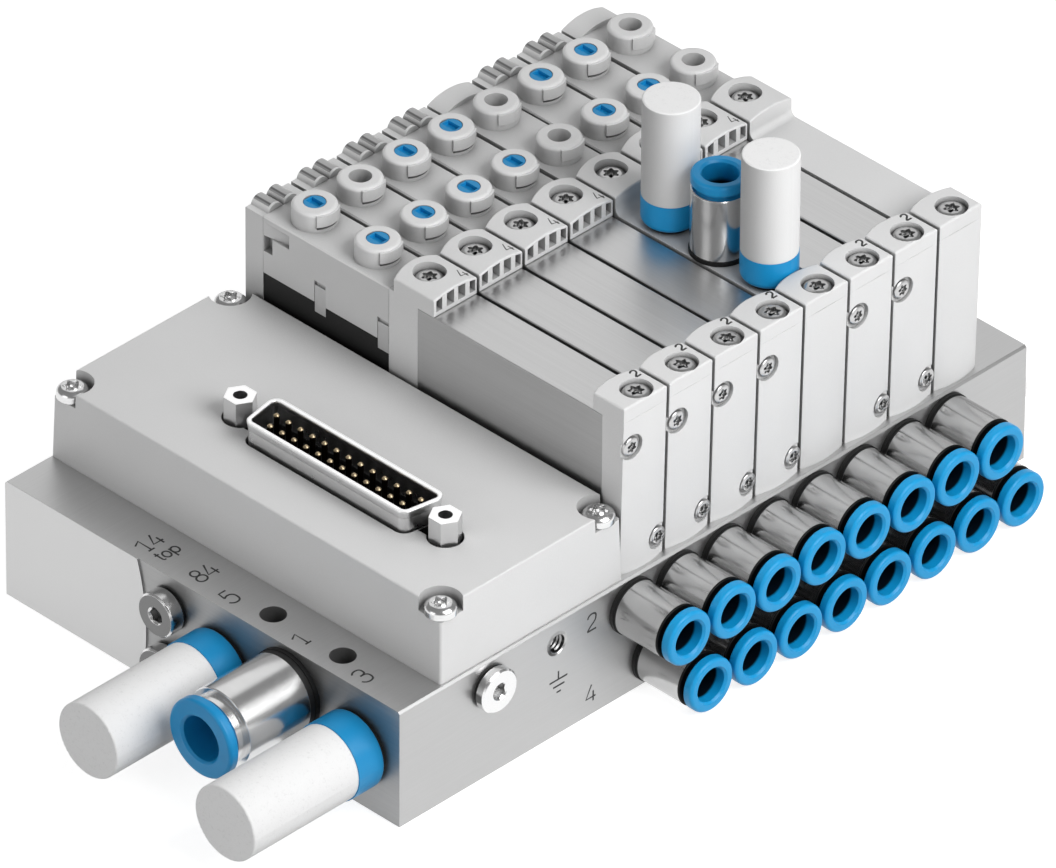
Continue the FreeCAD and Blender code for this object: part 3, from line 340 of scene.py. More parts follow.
def moulded_plastic(name, level, roughness=0.40, grain=0.16 * MM, depth=0.004 * MM, edge=EDGE,
                    nook_shade=0.84, flank_shade=1.0):
    """Light moulded plastic with a fine spark-eroded grain and faint flow marks, with painted shade in its
    gaps and between high neighbours.

    nook and flank are the shares of its level left by the painted shade between high neighbours and on its
    front side."""
    s = shader(name)
    flow = s.noise(9 * MM, 2.0)
    fine = s.noise(grain, 3.0)
    base = s.mix(flow, grey(level - 0.010), grey(level + 0.010))
    before_gap_shade = s.mix(fine.step(0.35, 0.75), base, grey(level + 0.012))
    # Painted shade: faces turned to the front, towards -Y, are darker.
    if flank_shade < 1.0:
        before_gap_shade = s.mix((0 - s.facing()[1]).step(0.7, 0.95), before_gap_shade, grey(level * flank_shade))
    # Painted shade: darker between high neighbours, and darker still in narrow gaps and pockets.
    shaded = s.mix(s.openness(WIDE_GAP, 0.40, 0.97), grey(level * nook_shade), before_gap_shade)
    tone = s.mix(s.openness(NARROW_GAP, 0.08, 0.60), grey(level * 0.46), shaded)
    return s.principled(Base_Color=tone, Roughness=roughness + 0.08 * fine - 0.04 * flow,
                        Specular_IOR_Level=0.5, Normal=s.bump(fine, depth, edge))


def blue_plastic(name, shade_depth_of=None, low=(0.07, 0.545, 0.775), high=(0.10, 0.58, 0.81)):
    """Glossy blue moulded plastic, painted dark as shade where shade_depth_of gives 1 and not where it gives
    0.
    """
    s = shader(name)
    flow = s.noise(2.5 * MM)
    fine = s.noise(0.12 * MM, 3.0)
    tone = s.mix(flow, colour(*low), colour(*high))
    # Painted shade: dark blue-black deep in the ring, behind its collar and down its bore.
    if shade_depth_of:
        tone = s.mix(shade_depth_of(s), tone, colour(0.01, 0.06, 0.10))
    return s.principled(Base_Color=tone, Roughness=0.30 + 0.12 * fine, Specular_IOR_Level=0.35,
                        Normal=s.bump(fine, 0.002 * MM, FINE_EDGE))


def work_ring_shade_depth(s):
    """How deep a point of a work ring lies, behind its collar or down its bore, where the ring gets painted
    shade.
    """
    return 1 - s.axes()[0].step(WORK_FACE + RING_COLLAR, WORK_FACE + RING_FACE)


def top_ring_shade_depth(s):
    """How deep a point of the supply plate's ring lies, where the ring gets painted shade."""
    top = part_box("release_ring_top")[1].z
    return 1 - s.axes()[2].step(top - TOP_RING_DEEP, top - TOP_RING_FACE)


def black_plastic(name="black_plastic", low=0.05, high=0.085):
    """Black glass-filled plastic of the contact blocks and the connector insulator."""
    s = shader(name)
    fine = s.noise(0.14 * MM, 3.0)
    tone = s.mix(fine, grey(low), grey(high))
    return s.principled(Base_Color=tone, Roughness=0.45 + 0.16 * fine, Specular_IOR_Level=0.35,
                        Normal=s.bump(fine, 0.005 * MM, EDGE))


def smoked_plastic():
    """Grey plastic of the light pipes, with painted shade: a dark line on faces that lean to the front, a
    dark end facing back along X, and a darker front side.
    """
    s = shader("smoked_plastic")
    face_x, face_y, _ = s.facing()
    fine = s.noise(0.3 * MM)
    # Painted shade, set by which way the surface faces.
    lean = 0 - face_y
    line = lean.step(0.22, 0.36) * (1 - lean.step(0.44, 0.58))
    end = (0 - face_x).step(0.3, 0.6)
    body = s.mix(lean.step(0.4, 0.7), grey(0.70), grey(0.58))
    tone = s.mix(line.larger(end) * 0.85, body, grey(0.34))
    return s.principled(Base_Color=tone, Roughness=0.18 + 0.10 * fine, IOR=1.49,
                        Normal=s.bump(fine, 0.002 * MM, EDGE))


def connector_steel():
    """Smooth bright plating of the connector, with a painted glowing highlight on its up-facing faces and
    painted shade where it lies in the housing's pocket.
    """
    s = shader("connector_steel")
    cloud = s.noise(4 * MM)
    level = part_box("multipin_housing")[1].z
    # Painted shade: near black and not metallic down in the housing's pocket.
    sunk_shade = 1 - s.axes()[2].step(level - POCKET_DARK, level - POCKET_EDGE)
    # Painted highlight: up-facing faces above the pocket are whiter and glow.
    rim = s.facing()[2].step(0.45, 0.9) * (1 - sunk_shade)
    plate = s.mix(rim, s.mix(cloud, grey(0.86), grey(0.89)), grey(0.97))
    tone = s.mix(sunk_shade, plate, grey(0.10))
    return s.principled(Base_Color=tone, Metallic=1 - sunk_shade.larger(rim * 0.7), Roughness=0.26 + 0.04 * cloud,
                        Emission_Color=s.mix(rim, grey(0.0), grey(0.9)), Emission_Strength=0.28,
                        Normal=s.bump(cloud, 0.001 * MM, FINE_EDGE))


def porous_plastic():
    """White sintered plastic grains of the silencer elements, with painted shade on the side of the standing
    ones that faces away from the camera's right.
    """
    s = shader("porous_plastic")
    face_x, face_y, face_z = s.facing()
    grains = s.cells(0.26 * MM)
    clumps = s.noise(0.9 * MM, 3.0)
    pore = grains.step(0.45, 0.95) * clumps.step(0.4, 0.7)
    # Painted shade on the standing elements, darker the further a face turns from the camera's right.
    turned_away_shade = 1 - (face_x * math.cos(CAMERA_AZIMUTH) + face_y * math.sin(CAMERA_AZIMUTH)).step(-0.9, 0.6)
    standing = s.axes()[2].step(DECK_LEVEL, DECK_LEVEL + 1 * MM) * (1 - face_z.step(0.3, 0.6))
    light = s.mix(standing, s.mix(pore, grey(0.95), grey(0.905)), grey(0.90))
    tone = s.mix(turned_away_shade * standing, light, grey(0.755))
    height = 1 - 0.7 * grains - 0.3 * clumps
    return s.principled(Base_Color=tone, Roughness=0.82 + 0.08 * clumps, Specular_IOR_Level=0.2,
                        Normal=s.bump(height, 0.014 * MM, 0.25 * MM))


def seal_rubber():
    """Black nitrile rubber of the seals and gaskets."""
    s = shader("seal_rubber")
    fine = s.noise(0.2 * MM, 3.0)
    tone = s.mix(fine, grey(0.05), grey(0.085))
    return s.principled(Base_Color=tone, Roughness=0.50 + 0.15 * fine, Specular_IOR_Level=0.35,
                        Normal=s.bump(fine, 0.004 * MM))


def bare_metal(name, tone, roughness, grain, stretch, depth):
    """Metal with fine tool marks drawn out along an axis."""
    s = shader(name)
    marks = s.noise(grain, 3.0, 0.6, stretch)
    cloud = s.noise(6 * MM)
    base = s.mix(marks, tuple(0.90 * c for c in tone[:3]) + (1,), tone)
    return s.principled(Base_Color=base, Metallic=1.0, Roughness=roughness + 0.10 * marks + 0.05 * cloud,
                        Normal=s.bump(marks, depth, 0.1 * MM))


def rail_aluminium():
    """Clear-anodised aluminium bar: brushed along its length, with a matt blasted pad beside the front ports,
    painted shade on its sides, darker in its bores and smooth in the sink of the earth hole."""
    s = shader("rail_aluminium")
    x, y, _ = s.axes()
    _, face_y, face_z = s.facing()
    streaks = s.noise(0.22 * MM, 3.0, 0.65, (1, 140, 1))
    hairs = s.noise(0.10 * MM, 2.0, 0.5, (1, 60, 1))
    across = s.noise(0.2 * MM, 3.0, 0.6, (60, 1, 1))
    blasted = s.noise(0.12 * MM, 2.0)
    front = (0 - face_y).step(0.7, 0.9)
    pad = front * (FRONT_LAND - 0.1 * MM - y).step(0, 0.05 * MM)
    land = front * (1 - pad)
    ends = face_y.absolute().step(0.7, 0.9)
    marks = (streaks * 0.6 + hairs * 0.4) * (1 - ends) + across * ends * (1 - pad) + blasted * pad
    # Painted shade: the sides are darker than the top.
    side = s.mix(marks, grey(0.68), grey(0.745))
    top = s.mix(marks, grey(0.77), grey(0.85))
    sides_shaded = s.mix(face_z.step(0.7, 0.9), side, top)
    machined = s.mix(land, sides_shaded, s.mix(marks, grey(0.56), grey(0.64)))
    tone = s.mix(pad, machined, s.mix(blasted, grey(0.78), grey(0.82)))
    well = s.distance(EARTH_HOLE, (0, 1, 1))
    at_face = x.step(WORK_FACE - EARTH_DEPTH, WORK_FACE - EARTH_DEPTH + 1 * MM)
    inside = (1 - well.step(EARTH_RADIUS + 0.02 * MM, EARTH_RADIUS + 0.06 * MM)) * at_face
    tone = s.mix(inside, tone, grey(0.35))
    behind_land = y.step(FRONT_LAND + 1.0 * MM, FRONT_LAND + 1.2 * MM)
    before_end = 1 - y.step(HOLES_END, HOLES_END + 0.2 * MM)
    between_sides = (WORK_FACE - 2 * MM - x.absolute()).step(0, 0.2 * MM)
    bore = behind_land * before_end * between_sides * (1 - face_z.absolute().step(0.2, 0.4))
    tone = s.mix(bore, tone, grey(0.44))
    sink = well.step(EARTH_RADIUS, EARTH_SINK_RADIUS).larger(1 - at_face)
    rough = (0.34 + 0.14 * marks) * (1 - pad) + pad * 0.56 - (1 - sink) * 0.12
    brushed = s.bump(marks, 0.010 * MM, EDGE)
    return s.principled(Base_Color=tone, Metallic=1 - 0.5 * bore, Roughness=rough,
                        Normal=s.bump(sink, 0.6 * MM, 0, brushed))


def valve_aluminium():
    """Brushed valve bodies, with the lines running from the pilots to the ports, and painted shade on their
    sides.
    """
    s = shader("valve_aluminium")
    streaks = s.noise(0.16 * MM, 3.0, 0.65, (160, 1, 1))
    broad = s.noise(0.9 * MM, 2.0, 0.5, (60, 1, 1))
    marks = streaks * 0.7 + broad * 0.3
    # Painted shade: the sides are darker than the tops.
    flank_shade = s.mix(marks, grey(0.70), grey(0.80))
    tone = s.mix(s.facing()[2].step(0.5, 0.8), flank_shade, s.mix(marks, grey(0.76), grey(0.88)))
    return s.principled(Base_Color=tone, Metallic=1.0, Roughness=0.27 + 0.14 * marks,
                        Normal=s.bump(marks, 0.010 * MM, EDGE))


def fitting_nickel():
    """Nickel plate of the fittings with fine turning marks and their black collar at the foot, with painted
    shade at the front end of the bodies and on the fittings of the work ports.
    """
    s = shader("nickel")
    x, y, z = s.axes()
    marks = s.noise(0.12 * MM, 2.0, 0.6, (1, 30, 30))
    cloud = s.noise(3 * MM)
    at_work = x.step(WORK_FACE - 0.2 * MM, WORK_FACE - 0.1 * MM)
    foot = at_work * (1 - x.step(WORK_FACE + COLLAR_END, WORK_FACE + COLLAR_END + 0.05 * MM))
    at_front = (1 - at_work) * (1 - z.step(SUPPLY_FITTING_TOP, SUPPLY_FITTING_TOP + 1 * MM))
    foot = foot + at_front * y.step(FRONT_LAND - SUPPLY_COLLAR, FRONT_LAND - SUPPLY_COLLAR + 0.05 * MM)
    # Painted shade: the front end of each body is dark.
    mouth_shade = x.step(WORK_FACE + BODY_MOUTH, WORK_FACE + BODY_MOUTH + 0.12 * MM)
    # Painted shade: the fittings of the work ports are darker than the others.
    bright = s.mix(at_work, s.mix(cloud, grey(0.86), grey(0.92)), s.mix(cloud, grey(0.70), grey(0.76)))
    tone = s.mix(mouth_shade, s.mix(foot, bright, grey(0.06)), grey(0.14))
    rough = 0.17 + 0.07 * marks + 0.35 * foot.larger(mouth_shade)
    return s.principled(Base_Color=tone, Metallic=1 - foot, Roughness=rough,
                        Normal=s.bump(marks, 0.0012 * MM, 0.10 * MM))


def plug_nickel():
    """Nickel plate of the blanking plugs, duller on the turned faces, which also get a painted shade, and
    with painted shade in the hexagon.
    """
    s = shader("plug_nickel")
    marks = s.noise(0.10 * MM, 2.0, 0.6)
    # Painted shade: the flat front faces are darker as well as duller.
    flat = (0 - s.facing()[1]).step(0.96, 0.99)
    outside = s.mix(flat, s.mix(marks, grey(0.86), grey(0.91)), grey(0.46))
    # Painted shade: near black in the hexagon.
    tone = s.mix(s.openness(1.6 * MM, 0.15, 0.65), grey(0.14), outside)
    return s.principled(Base_Color=tone, Metallic=1.0, Roughness=0.14 + 0.08 * marks + 0.2 * flat,
                        Normal=s.bump(marks, 0.0015 * MM, EDGE))


def gold():
    """Gold plate of the pins, with painted shade on the shafts below their tips."""
    s = shader("gold")
    wear = s.noise(0.5 * MM)
    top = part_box("connector_pins")[1].z
    tip = s.axes()[2].step(top - PIN_SHAFT, top - PIN_TIP)
    plate = s.mix(wear, colour(0.66, 0.58, 0.46), colour(0.76, 0.70, 0.58))
    # Painted shade: dark brown below the tips.
    tone = s.mix(tip, colour(0.16, 0.12, 0.09), plate)
    return s.principled(Base_Color=tone, Metallic=1.0, Roughness=0.36 + 0.10 * wear,
                        Normal=s.bump(wear, 0.002 * MM))


def board():
    """Green solder resist over copper tracks."""
    s = shader("board")
    tracks = s.cells(2.2 * MM, "DISTANCE_TO_EDGE").step(0.04, 0.07)
    tone = s.mix(tracks, colour(0.10, 0.38, 0.24), colour(0.05, 0.28, 0.17))
    return s.principled(Base_Color=tone, Roughness=0.35 + 0.1 * tracks, Normal=s.bump(tracks, 0.02 * MM))


def mark_grey():
    """Dark floor of the engraved strokes."""
    s = shader("mark_grey")
    fine = s.noise(0.15 * MM, 2.0)
    return s.principled(Base_Color=s.mix(fine, grey(0.20), grey(0.28)), Roughness=0.6 + 0.1 * fine,
                        Specular_IOR_Level=0.2, Normal=s.bump(fine, 0.004 * MM))


STEEL = bare_metal("screw_steel", grey(0.88), 0.15, 0.12 * MM, (12, 12, 1), 0.003 * MM)
VALVE_STEEL = bare_metal("valve_screw_steel", grey(0.77), 0.22, 0.12 * MM, (12, 12, 1), 0.003 * MM)
THREAD_METAL = bare_metal("thread_aluminium", grey(0.62), 0.30, 0.15 * MM, (1, 6, 6), 0.003 * MM)
MARK = mark_grey()


def finishes():
    """Every node's material, by the start of the node's name."""
    light = moulded_plastic("grey_plastic", 0.865)
    blue = blue_plastic("blue_plastic")
    # Painted light: the work rings get a brighter copy of the blue plastic.
    lit_ring_low, lit_ring_high = (0.05, 0.60, 0.83), (0.08, 0.62, 0.86)
    black = black_plastic()
    rubber = seal_rubber()
    plating = connector_steel()
    return {
        "manifold_rail": rail_aluminium(),
        "multipin_housing": moulded_plastic("housing_plastic", 0.865, 0.42, 0.18 * MM, 0.005 * MM, 0.2 * MM),
        "fixing_screws": STEEL,
        "circuit_board": board(),
        "connector_shell": plating,
        "connector_insulator": black_plastic("insulator_black", 0.15, 0.18),
        "connector_pins": gold(),
        "connector_standoffs": plating,
        "fitting_bodies": fitting_nickel(),
        "tube_seals": rubber,
        "silencer_bases": blue,
        "silencer_elements": porous_plastic(),
        "blanking_plugs": plug_nickel(),
        "port_seals": rubber,
        "supply_plate": light,
        "blanking_plate": light,
        "valve_gaskets": rubber,
        "valve_bodies": valve_aluminium(),
        "port_covers": moulded_plastic("cover_plastic", 0.87, nook_shade=0.95),
        "number_caps": light,
        "cover_screws": VALVE_STEEL,
        "pilot_housings": moulded_plastic("pilot_plastic", 0.89, nook_shade=0.76, flank_shade=0.92),
        "contact_blocks": black,
        "retaining_clips": bare_metal("clip_steel", grey(0.85), 0.35, 0.2 * MM, (1, 1, 8), 0.002 * MM),
        "light_pipes": smoked_plastic(),
        "release_ring_work": blue_plastic("work_ring_blue", work_ring_shade_depth, lit_ring_low, lit_ring_high),
        "release_ring_top": blue_plastic("top_ring_blue", top_ring_shade_depth),
        "release_ring_supply": blue,
        "valve_spool": bare_metal("spool_aluminium", grey(0.86), 0.22, 0.15 * MM, (1, 20, 20), 0.004 * MM),
        "override_plunger": blue,
    }


FINISHES = finishes()


def finish_solids():
    """Gives each solid its material."""
    for name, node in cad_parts.items():
        material = next(m for start, m in FINISHES.items() if name.startswith(start))
        node.data.materials.clear()
        node.data.materials.append(material)


def finish_piece(name, form, material, sharp=SHARP_EDGE, body="island"):
    """The object of a finished form, which rides on a body and takes the given material."""
    bmesh.ops.recalc_face_normals(form, faces=form.faces)
    mesh = bpy.data.meshes.new(name)
    form.to_mesh(mesh)
    form.free()
    mesh.polygons.foreach_set("use_smooth", [True] * len(mesh.polygons))
    mesh.set_sharp_from_angle(angle=math.radians(sharp))
    mesh.materials.append(material)
    piece = bpy.data.objects.new(name, mesh)
    bpy.context.scene.collection.objects.link(piece)
    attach(piece, body)
    return piece


def loose_solids(name):
    """The lowest and highest corner of each separate solid of a node."""
    form = bmesh.new()
    form.from_mesh(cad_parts[name].data)
    bmesh.ops.remove_doubles(form, verts=form.verts, dist=SAME_CORNER)
    left = set(form.verts)
    found = []
    while left:
        todo = [left.pop()]
        places = []
        while todo:
            corner = todo.pop()
            places.append(corner.co.copy())
            for edge in corner.link_edges:
                other = edge.other_vert(corner)
                if other in left:
                    left.remove(other)
                    todo.append(other)
        found.append((Vector([min(p[i] for p in places) for i in range(3)]),
                      Vector([max(p[i] for p in places) for i in range(3)])))
    form.free()
    return sorted(found, key=lambda corners: tuple(round(c, 6) for c in corners[0]))


def turned_head(form, turn, profile):
    """A closed turned form from rounds of (radius, height, lobed), where a lobed round is a six-lobed star.

    A dict keeps the edges of a round in their order, so that its faces come out the same each time."""
    loops, corners = [], []
    for radius, height, lobed in profile:
        made = bmesh.ops.create_circle(form, segments=SCREW_SIDES, radius=radius,
                                       matrix=Matrix.Translation((0, 0, height)))["verts"]
        if lobed:
            for corner in made:
                wave = 1 - LOBE_DEPTH * (1 - math.cos(LOBES * math.atan2(corner.co.y, corner.co.x))) / 2
                corner.co.x *= wave
                corner.co.y *= wave
        corners += made
        loops.append(list(dict.fromkeys(edge for corner in made for edge in corner.link_edges)))
    for lower, upper in zip(loops, loops[1:]):
        bmesh.ops.bridge_loops(form, edges=lower + upper)
    bmesh.ops.edgeloop_fill(form, edges=loops[0])
    bmesh.ops.edgeloop_fill(form, edges=loops[-1])
    bmesh.ops.transform(form, matrix=turn, verts=corners)


def pan_screw(form, turn, radius, height, shank, length):
    """A domed screw with a six-lobed recess, its seat at height 0."""
    rim = height * RIM_HEIGHT_SHARE
    recess = radius * RECESS_SHARE
    crown_end = math.acos(recess * RECESS_LIP / radius)
    rounds = [(shank * TIP_SHARE, -length, False), (shank, shank * TIP_SHARE - length, False),
              (shank, 0, False), (radius - SCREW_EDGE, 0, False), (radius, SCREW_EDGE, False)]
    for step in range(CROWN_STEPS + 1):
        angle = crown_end * step / CROWN_STEPS
        rounds.append((radius * math.cos(angle), rim + (height - rim) * math.sin(angle), False))
    lip = rounds[-1][1]
    floor_height = lip - radius * RECESS_DEPTH_SHARE
    rounds += [(recess, lip - SCREW_EDGE, True), (recess * RECESS_FLOOR, floor_height, True),
               (recess * RECESS_POINT, floor_height - RECESS_POINT_DEPTH, False)]
    turned_head(form, turn, rounds)


def screws():
    """The housing and valve screws from above, and the small screws in the covers' fronts."""
    housing, valve = bmesh.new(), bmesh.new()
    for low, high in loose_solids("fixing_screws"):
        radius = (high.x - low.x) / 2
        on_housing = radius > HOUSING_HEAD_LEAST
        height = HOUSING_HEAD_HEIGHT if on_housing else VALVE_HEAD_HEIGHT
        seat = high.z - height
        turn = Matrix.Translation(((low.x + high.x) / 2, (low.y + high.y) / 2, seat))
        turn = turn @ Matrix.Rotation(low.y * SCREW_TURNING, 4, "Z")
        pan_screw(housing if on_housing else valve, turn, radius, height, SCREW_SHANK, seat - low.z)
    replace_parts(finish_piece("pan_screws", housing, STEEL), "fixing_screws")
    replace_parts(finish_piece("valve_screws", valve, VALVE_STEEL), "fixing_screws")
    form = bmesh.new()
    upright = Matrix.Rotation(math.pi / 2, 4, "Y")
    for low, high in loose_solids("cover_screws"):
        seat = high.x - SMALL_HEAD_HEIGHT
        turn = Matrix.Translation((seat, (low.y + high.y) / 2, (low.z + high.z) / 2)) @ upright
        turn = turn @ Matrix.Rotation(low.y * SCREW_TURNING, 4, "Z")
        pan_screw(form, turn, (high.y - low.y) / 2, SMALL_HEAD_HEIGHT, SMALL_SHANK, seat - low.x)
    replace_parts(finish_piece("front_screws", form, VALVE_STEEL), "cover_screws")


def connector_loop(grow):
    """Points round the connector's D outline, moved outward by a length."""
    half_wide = SHELL_WIDTH / 2 + grow
    half_long = SHELL_LENGTH / 2 + grow
    half_short = half_long - 2 * half_wide * math.tan(SHELL_SLOPE)
    corners = [Vector((-half_short, -half_wide)), Vector((half_short, -half_wide)),
               Vector((half_long, half_wide)), Vector((-half_long, half_wide))]
    radius = SHELL_CORNER + grow
    points = []
    for n, corner in enumerate(corners):
        before = (corners[n - 1] - corner).normalized()
        after = (corners[(n + 1) % 4] - corner).normalized()
        half = before.angle(after) / 2
        middle = corner + (before + after).normalized() * radius / math.sin(half)
        start = corner + before * radius / math.tan(half) - middle
        sweep = math.pi - 2 * half
        for step in range(RIM_STEPS + 1):
            angle = sweep * step / RIM_STEPS
            turned = Vector((start.x * math.cos(angle) - start.y * math.sin(angle),
                             start.x * math.sin(angle) + start.y * math.cos(angle)))
            points.append(middle + turned)
    return points


def connector_rim():
    """The rolled bright edge of the connector's shell."""
    low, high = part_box("connector_shell")
    middle = (low + high) / 2
    form = bmesh.new()
    rounds = []
    for grow, rise in RIM_SECTION:
        rounds.append([form.verts.new((middle.x + p.x, middle.y + p.y, high.z + rise * MM))
                       for p in connector_loop(grow * MM)])
    for n, lower in enumerate(rounds):
        upper = rounds[(n + 1) % len(rounds)]
        for j in range(len(lower)):
            form.faces.new((lower[j - 1], lower[j], upper[j], upper[j - 1]))
    finish_piece("connector_rim", form, FINISHES["connector_shell"], SHARP_CORNER)


def plunger_tongues():
    """The raised floor in the slot of each override plunger, and the blocks that close the slot's ends."""
    for name in sorted(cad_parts):
        if not name.startswith("override_plunger"):
            continue
        low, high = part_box(name)
        form = bmesh.new()
        reach = (high.x - low.x) / 2
        length = 2 * math.sqrt(reach ** 2 - (TONGUE_WIDTH / 2) ** 2) - TONGUE_GAP
        middle = (low + high) / 2
        end = (length - TONGUE_END) / 2
        blocks = [(0, length, high.z - TONGUE_DROP)]
        blocks += [(side * end, TONGUE_END, high.z - TONGUE_END_DROP) for side in (-1, 1)]
        for offset, size, top in blocks:
            bottom = high.z - TONGUE_DROP - TONGUE_HEIGHT - abs(offset) * TONGUE_STEP
            place = Matrix.Translation((middle.x + offset, middle.y, (top + bottom) / 2))
            width = TONGUE_WIDTH - abs(offset) * TONGUE_STEP
            block = Matrix.Diagonal((size, width, top - bottom, 1))
            bmesh.ops.create_cube(form, size=1.0, matrix=place @ block)
        finish_piece(name.replace("override_plunger", "plunger_tongue"), form, FINISHES["override_plunger"],
                     SHARP_EDGE, name)


def earth_thread():
    """The helical thread on the wall of the earth hole."""
    form = bmesh.new()
    root, crest = EARTH_RADIUS + THREAD_BITE, EARTH_RADIUS - THREAD_DEPTH
    tooth = [form.verts.new((root, 0, -THREAD_ROOT_HALF)), form.verts.new((root, 0, THREAD_ROOT_HALF)),
             form.verts.new((crest, 0, THREAD_CREST_HALF)), form.verts.new((crest, 0, -THREAD_CREST_HALF))]
    sides = [form.edges.new((tooth[n - 1], tooth[n])) for n in range(len(tooth))]
    bmesh.ops.spin(form, geom=tooth + sides, cent=(0, 0, 0), axis=(0, 0, 1),
                   angle=2 * math.pi * THREAD_TURNS, dvec=(0, 0, -THREAD_PITCH / THREAD_STEPS),
                   steps=THREAD_STEPS * THREAD_TURNS, use_merge=False)
    bmesh.ops.holes_fill(form, edges=[edge for edge in form.edges if edge.is_boundary], sides=0)
    start = EARTH_HOLE - Vector((THREAD_START, 0, 0))
    turn = Matrix.Translation(start) @ Matrix.Rotation(math.pi / 2, 4, "Y")
    bmesh.ops.transform(form, matrix=turn, verts=form.verts)
    finish_piece("earth_thread", form, THREAD_METAL)


# Width and height of a stroke
STROKE = 0.36 * MM
STROKE_RISE = 0.02 * MM

# Signs as strokes on a square of height 1: bent strokes go straight from point to point,
# curved ones follow a smooth line, and round ones close on themselves
BENT, CURVED, ROUND = "bent", "curved", "round"
OVAL_POINTS = 8
OVAL_REACH = 1.09


def oval(x, y, half_width, half_height):
    """A round stroke about a middle. Its points lie a little outside the line that they steer."""
    turns = [2 * math.pi * n / OVAL_POINTS for n in range(OVAL_POINTS)]
    return ROUND, [(x + half_width * math.cos(turn) * OVAL_REACH,
                    y + half_height * math.sin(turn) * OVAL_REACH) for turn in turns]


SIGNS = {
    "1": [(BENT, [(0, 0.77), (0.40, 1), (0.40, 0)]), (BENT, [(0.19, 0), (0.61, 0)])],
    "2": [(CURVED, [(0.02, 0.78), (0.05, 1.04), (0.62, 1.05), (0.63, 0.72), (0.56, 0.46),
                    (0.18, 0.26), (0, 0)]),
          (BENT, [(0, 0), (0.64, 0)])],
    "3": [(CURVED, [(0.02, 0.86), (0.12, 1.04), (0.60, 1.05), (0.62, 0.74), (0.58, 0.53), (0.24, 0.54)]),
          (CURVED, [(0.24, 0.54), (0.64, 0.56), (0.70, 0.26), (0.62, -0.06), (0.12, -0.06), (0, 0.19)])],
    "4": [(BENT, [(0.38, 1), (0, 0.25), (0.66, 0.25)]), (BENT, [(0.5, 0.6), (0.5, 0)])],
    "5": [(BENT, [(0.56, 1), (0.12, 1), (0.07, 0.54)]),
          (CURVED, [(0.07, 0.54), (0.28, 0.70), (0.64, 0.60), (0.66, 0.28), (0.60, -0.06),
                    (0.14, -0.06), (0, 0.17)])],
    "8": [oval(0.32, 0.76, 0.24, 0.24), oval(0.32, 0.26, 0.30, 0.26)],
    "t": [(BENT, [(0.16, 0.92), (0.16, 0.12), (0.23, 0), (0.36, 0)]), (BENT, [(0, 0.68), (0.34, 0.68)])],
    "o": [oval(0.30, 0.34, 0.28, 0.34)],
    "p": [(BENT, [(0, 0.68), (0, -0.30)]), oval(0.28, 0.34, 0.28, 0.33)],
    "earth": [(BENT, [(0.50, 1), (0.50, 0.60)]), (BENT, [(0, 0.60), (1, 0.60)]),
              (BENT, [(0.20, 0.30), (0.84, 0.30)]), (BENT, [(0.40, 0), (0.64, 0)])],
}

# Each sign on the rail's front strip: the sign, where it starts along Y, its foot along X, its height
STRIP_SIGNS = (
    ("1", -71.00, -14.75, 3.20), ("4", -68.45, -14.75, 3.20),
    ("t", -70.70, -11.25, 2.55), ("o", -69.60, -11.25, 2.55), ("p", -67.65, -11.25, 2.55),
    ("8", -70.55, -2.45, 3.35), ("4", -68.05, -2.45, 3.30),
    ("5", -71.10, 5.20, 3.45), ("1", -71.00, 21.40, 3.15), ("3", -71.15, 35.70, 3.40),
)

# Each sign on the face of the work ports: the sign, where it starts along Y, its foot along Z, its height
FACE_SIGNS = (("2", -30.05, 16.85, 3.15), ("4", -30.25, 2.55, 3.35), ("earth", -38.70, 8.44, 4.10))

# The digits on caps and covers: foot along X, start along Y from the station's middle, height,
# level of the face. The cap's face leans there, because its top is arched.
CAP_DIGIT = ("4", 0.05, 2.90, 2.35, 56.16)
CAP_LEAN = math.radians(12.0)
COVER_DIGIT = ("2", 39.20, 3.12, 1.70, 55.8)


def sign_strokes(form, sign, turn):
    """Adds the strokes of a sign as flat closed bars; turn takes the square of the sign to its place."""
    size = turn.to_scale().x
    for kind, points in SIGNS[sign]:
        line = bpy.data.curves.new("stroke", "CURVE")
        line.dimensions = "3D"
        line.bevel_depth = STROKE / 2
        line.bevel_resolution = 1
        line.use_fill_caps = True
        spline = line.splines.new("POLY" if kind == BENT else "NURBS")
        spline.points.add(len(points) - 1)
        for point, (x, y) in zip(spline.points, points):
            point.co = (x * size, y * size, 0, 1)
        if kind != BENT:
            spline.order_u = 4
            spline.resolution_u = 5
            spline.use_endpoint_u = kind == CURVED
            spline.use_cyclic_u = kind == ROUND
        holder = bpy.data.objects.new("stroke", line)
        mesh = bpy.data.meshes.new_from_object(holder)
        mesh.transform(turn @ Matrix.Diagonal((1 / size, 1 / size, 2 * STROKE_RISE / STROKE / size, 1)))
        form.from_mesh(mesh)
        bpy.data.objects.remove(holder)
        bpy.data.curves.remove(line)
        bpy.data.meshes.remove(mesh)


def upright_sign(start, right, up, height):
    """The turn that takes a sign's square to a start, with its right and up directions."""
    right, up = Vector(right), Vector(up)
    turn = Matrix((right, up, right.cross(up))).transposed().to_4x4()
    return Matrix.Translation(Vector(start)) @ turn @ Matrix.Scale(height, 4)


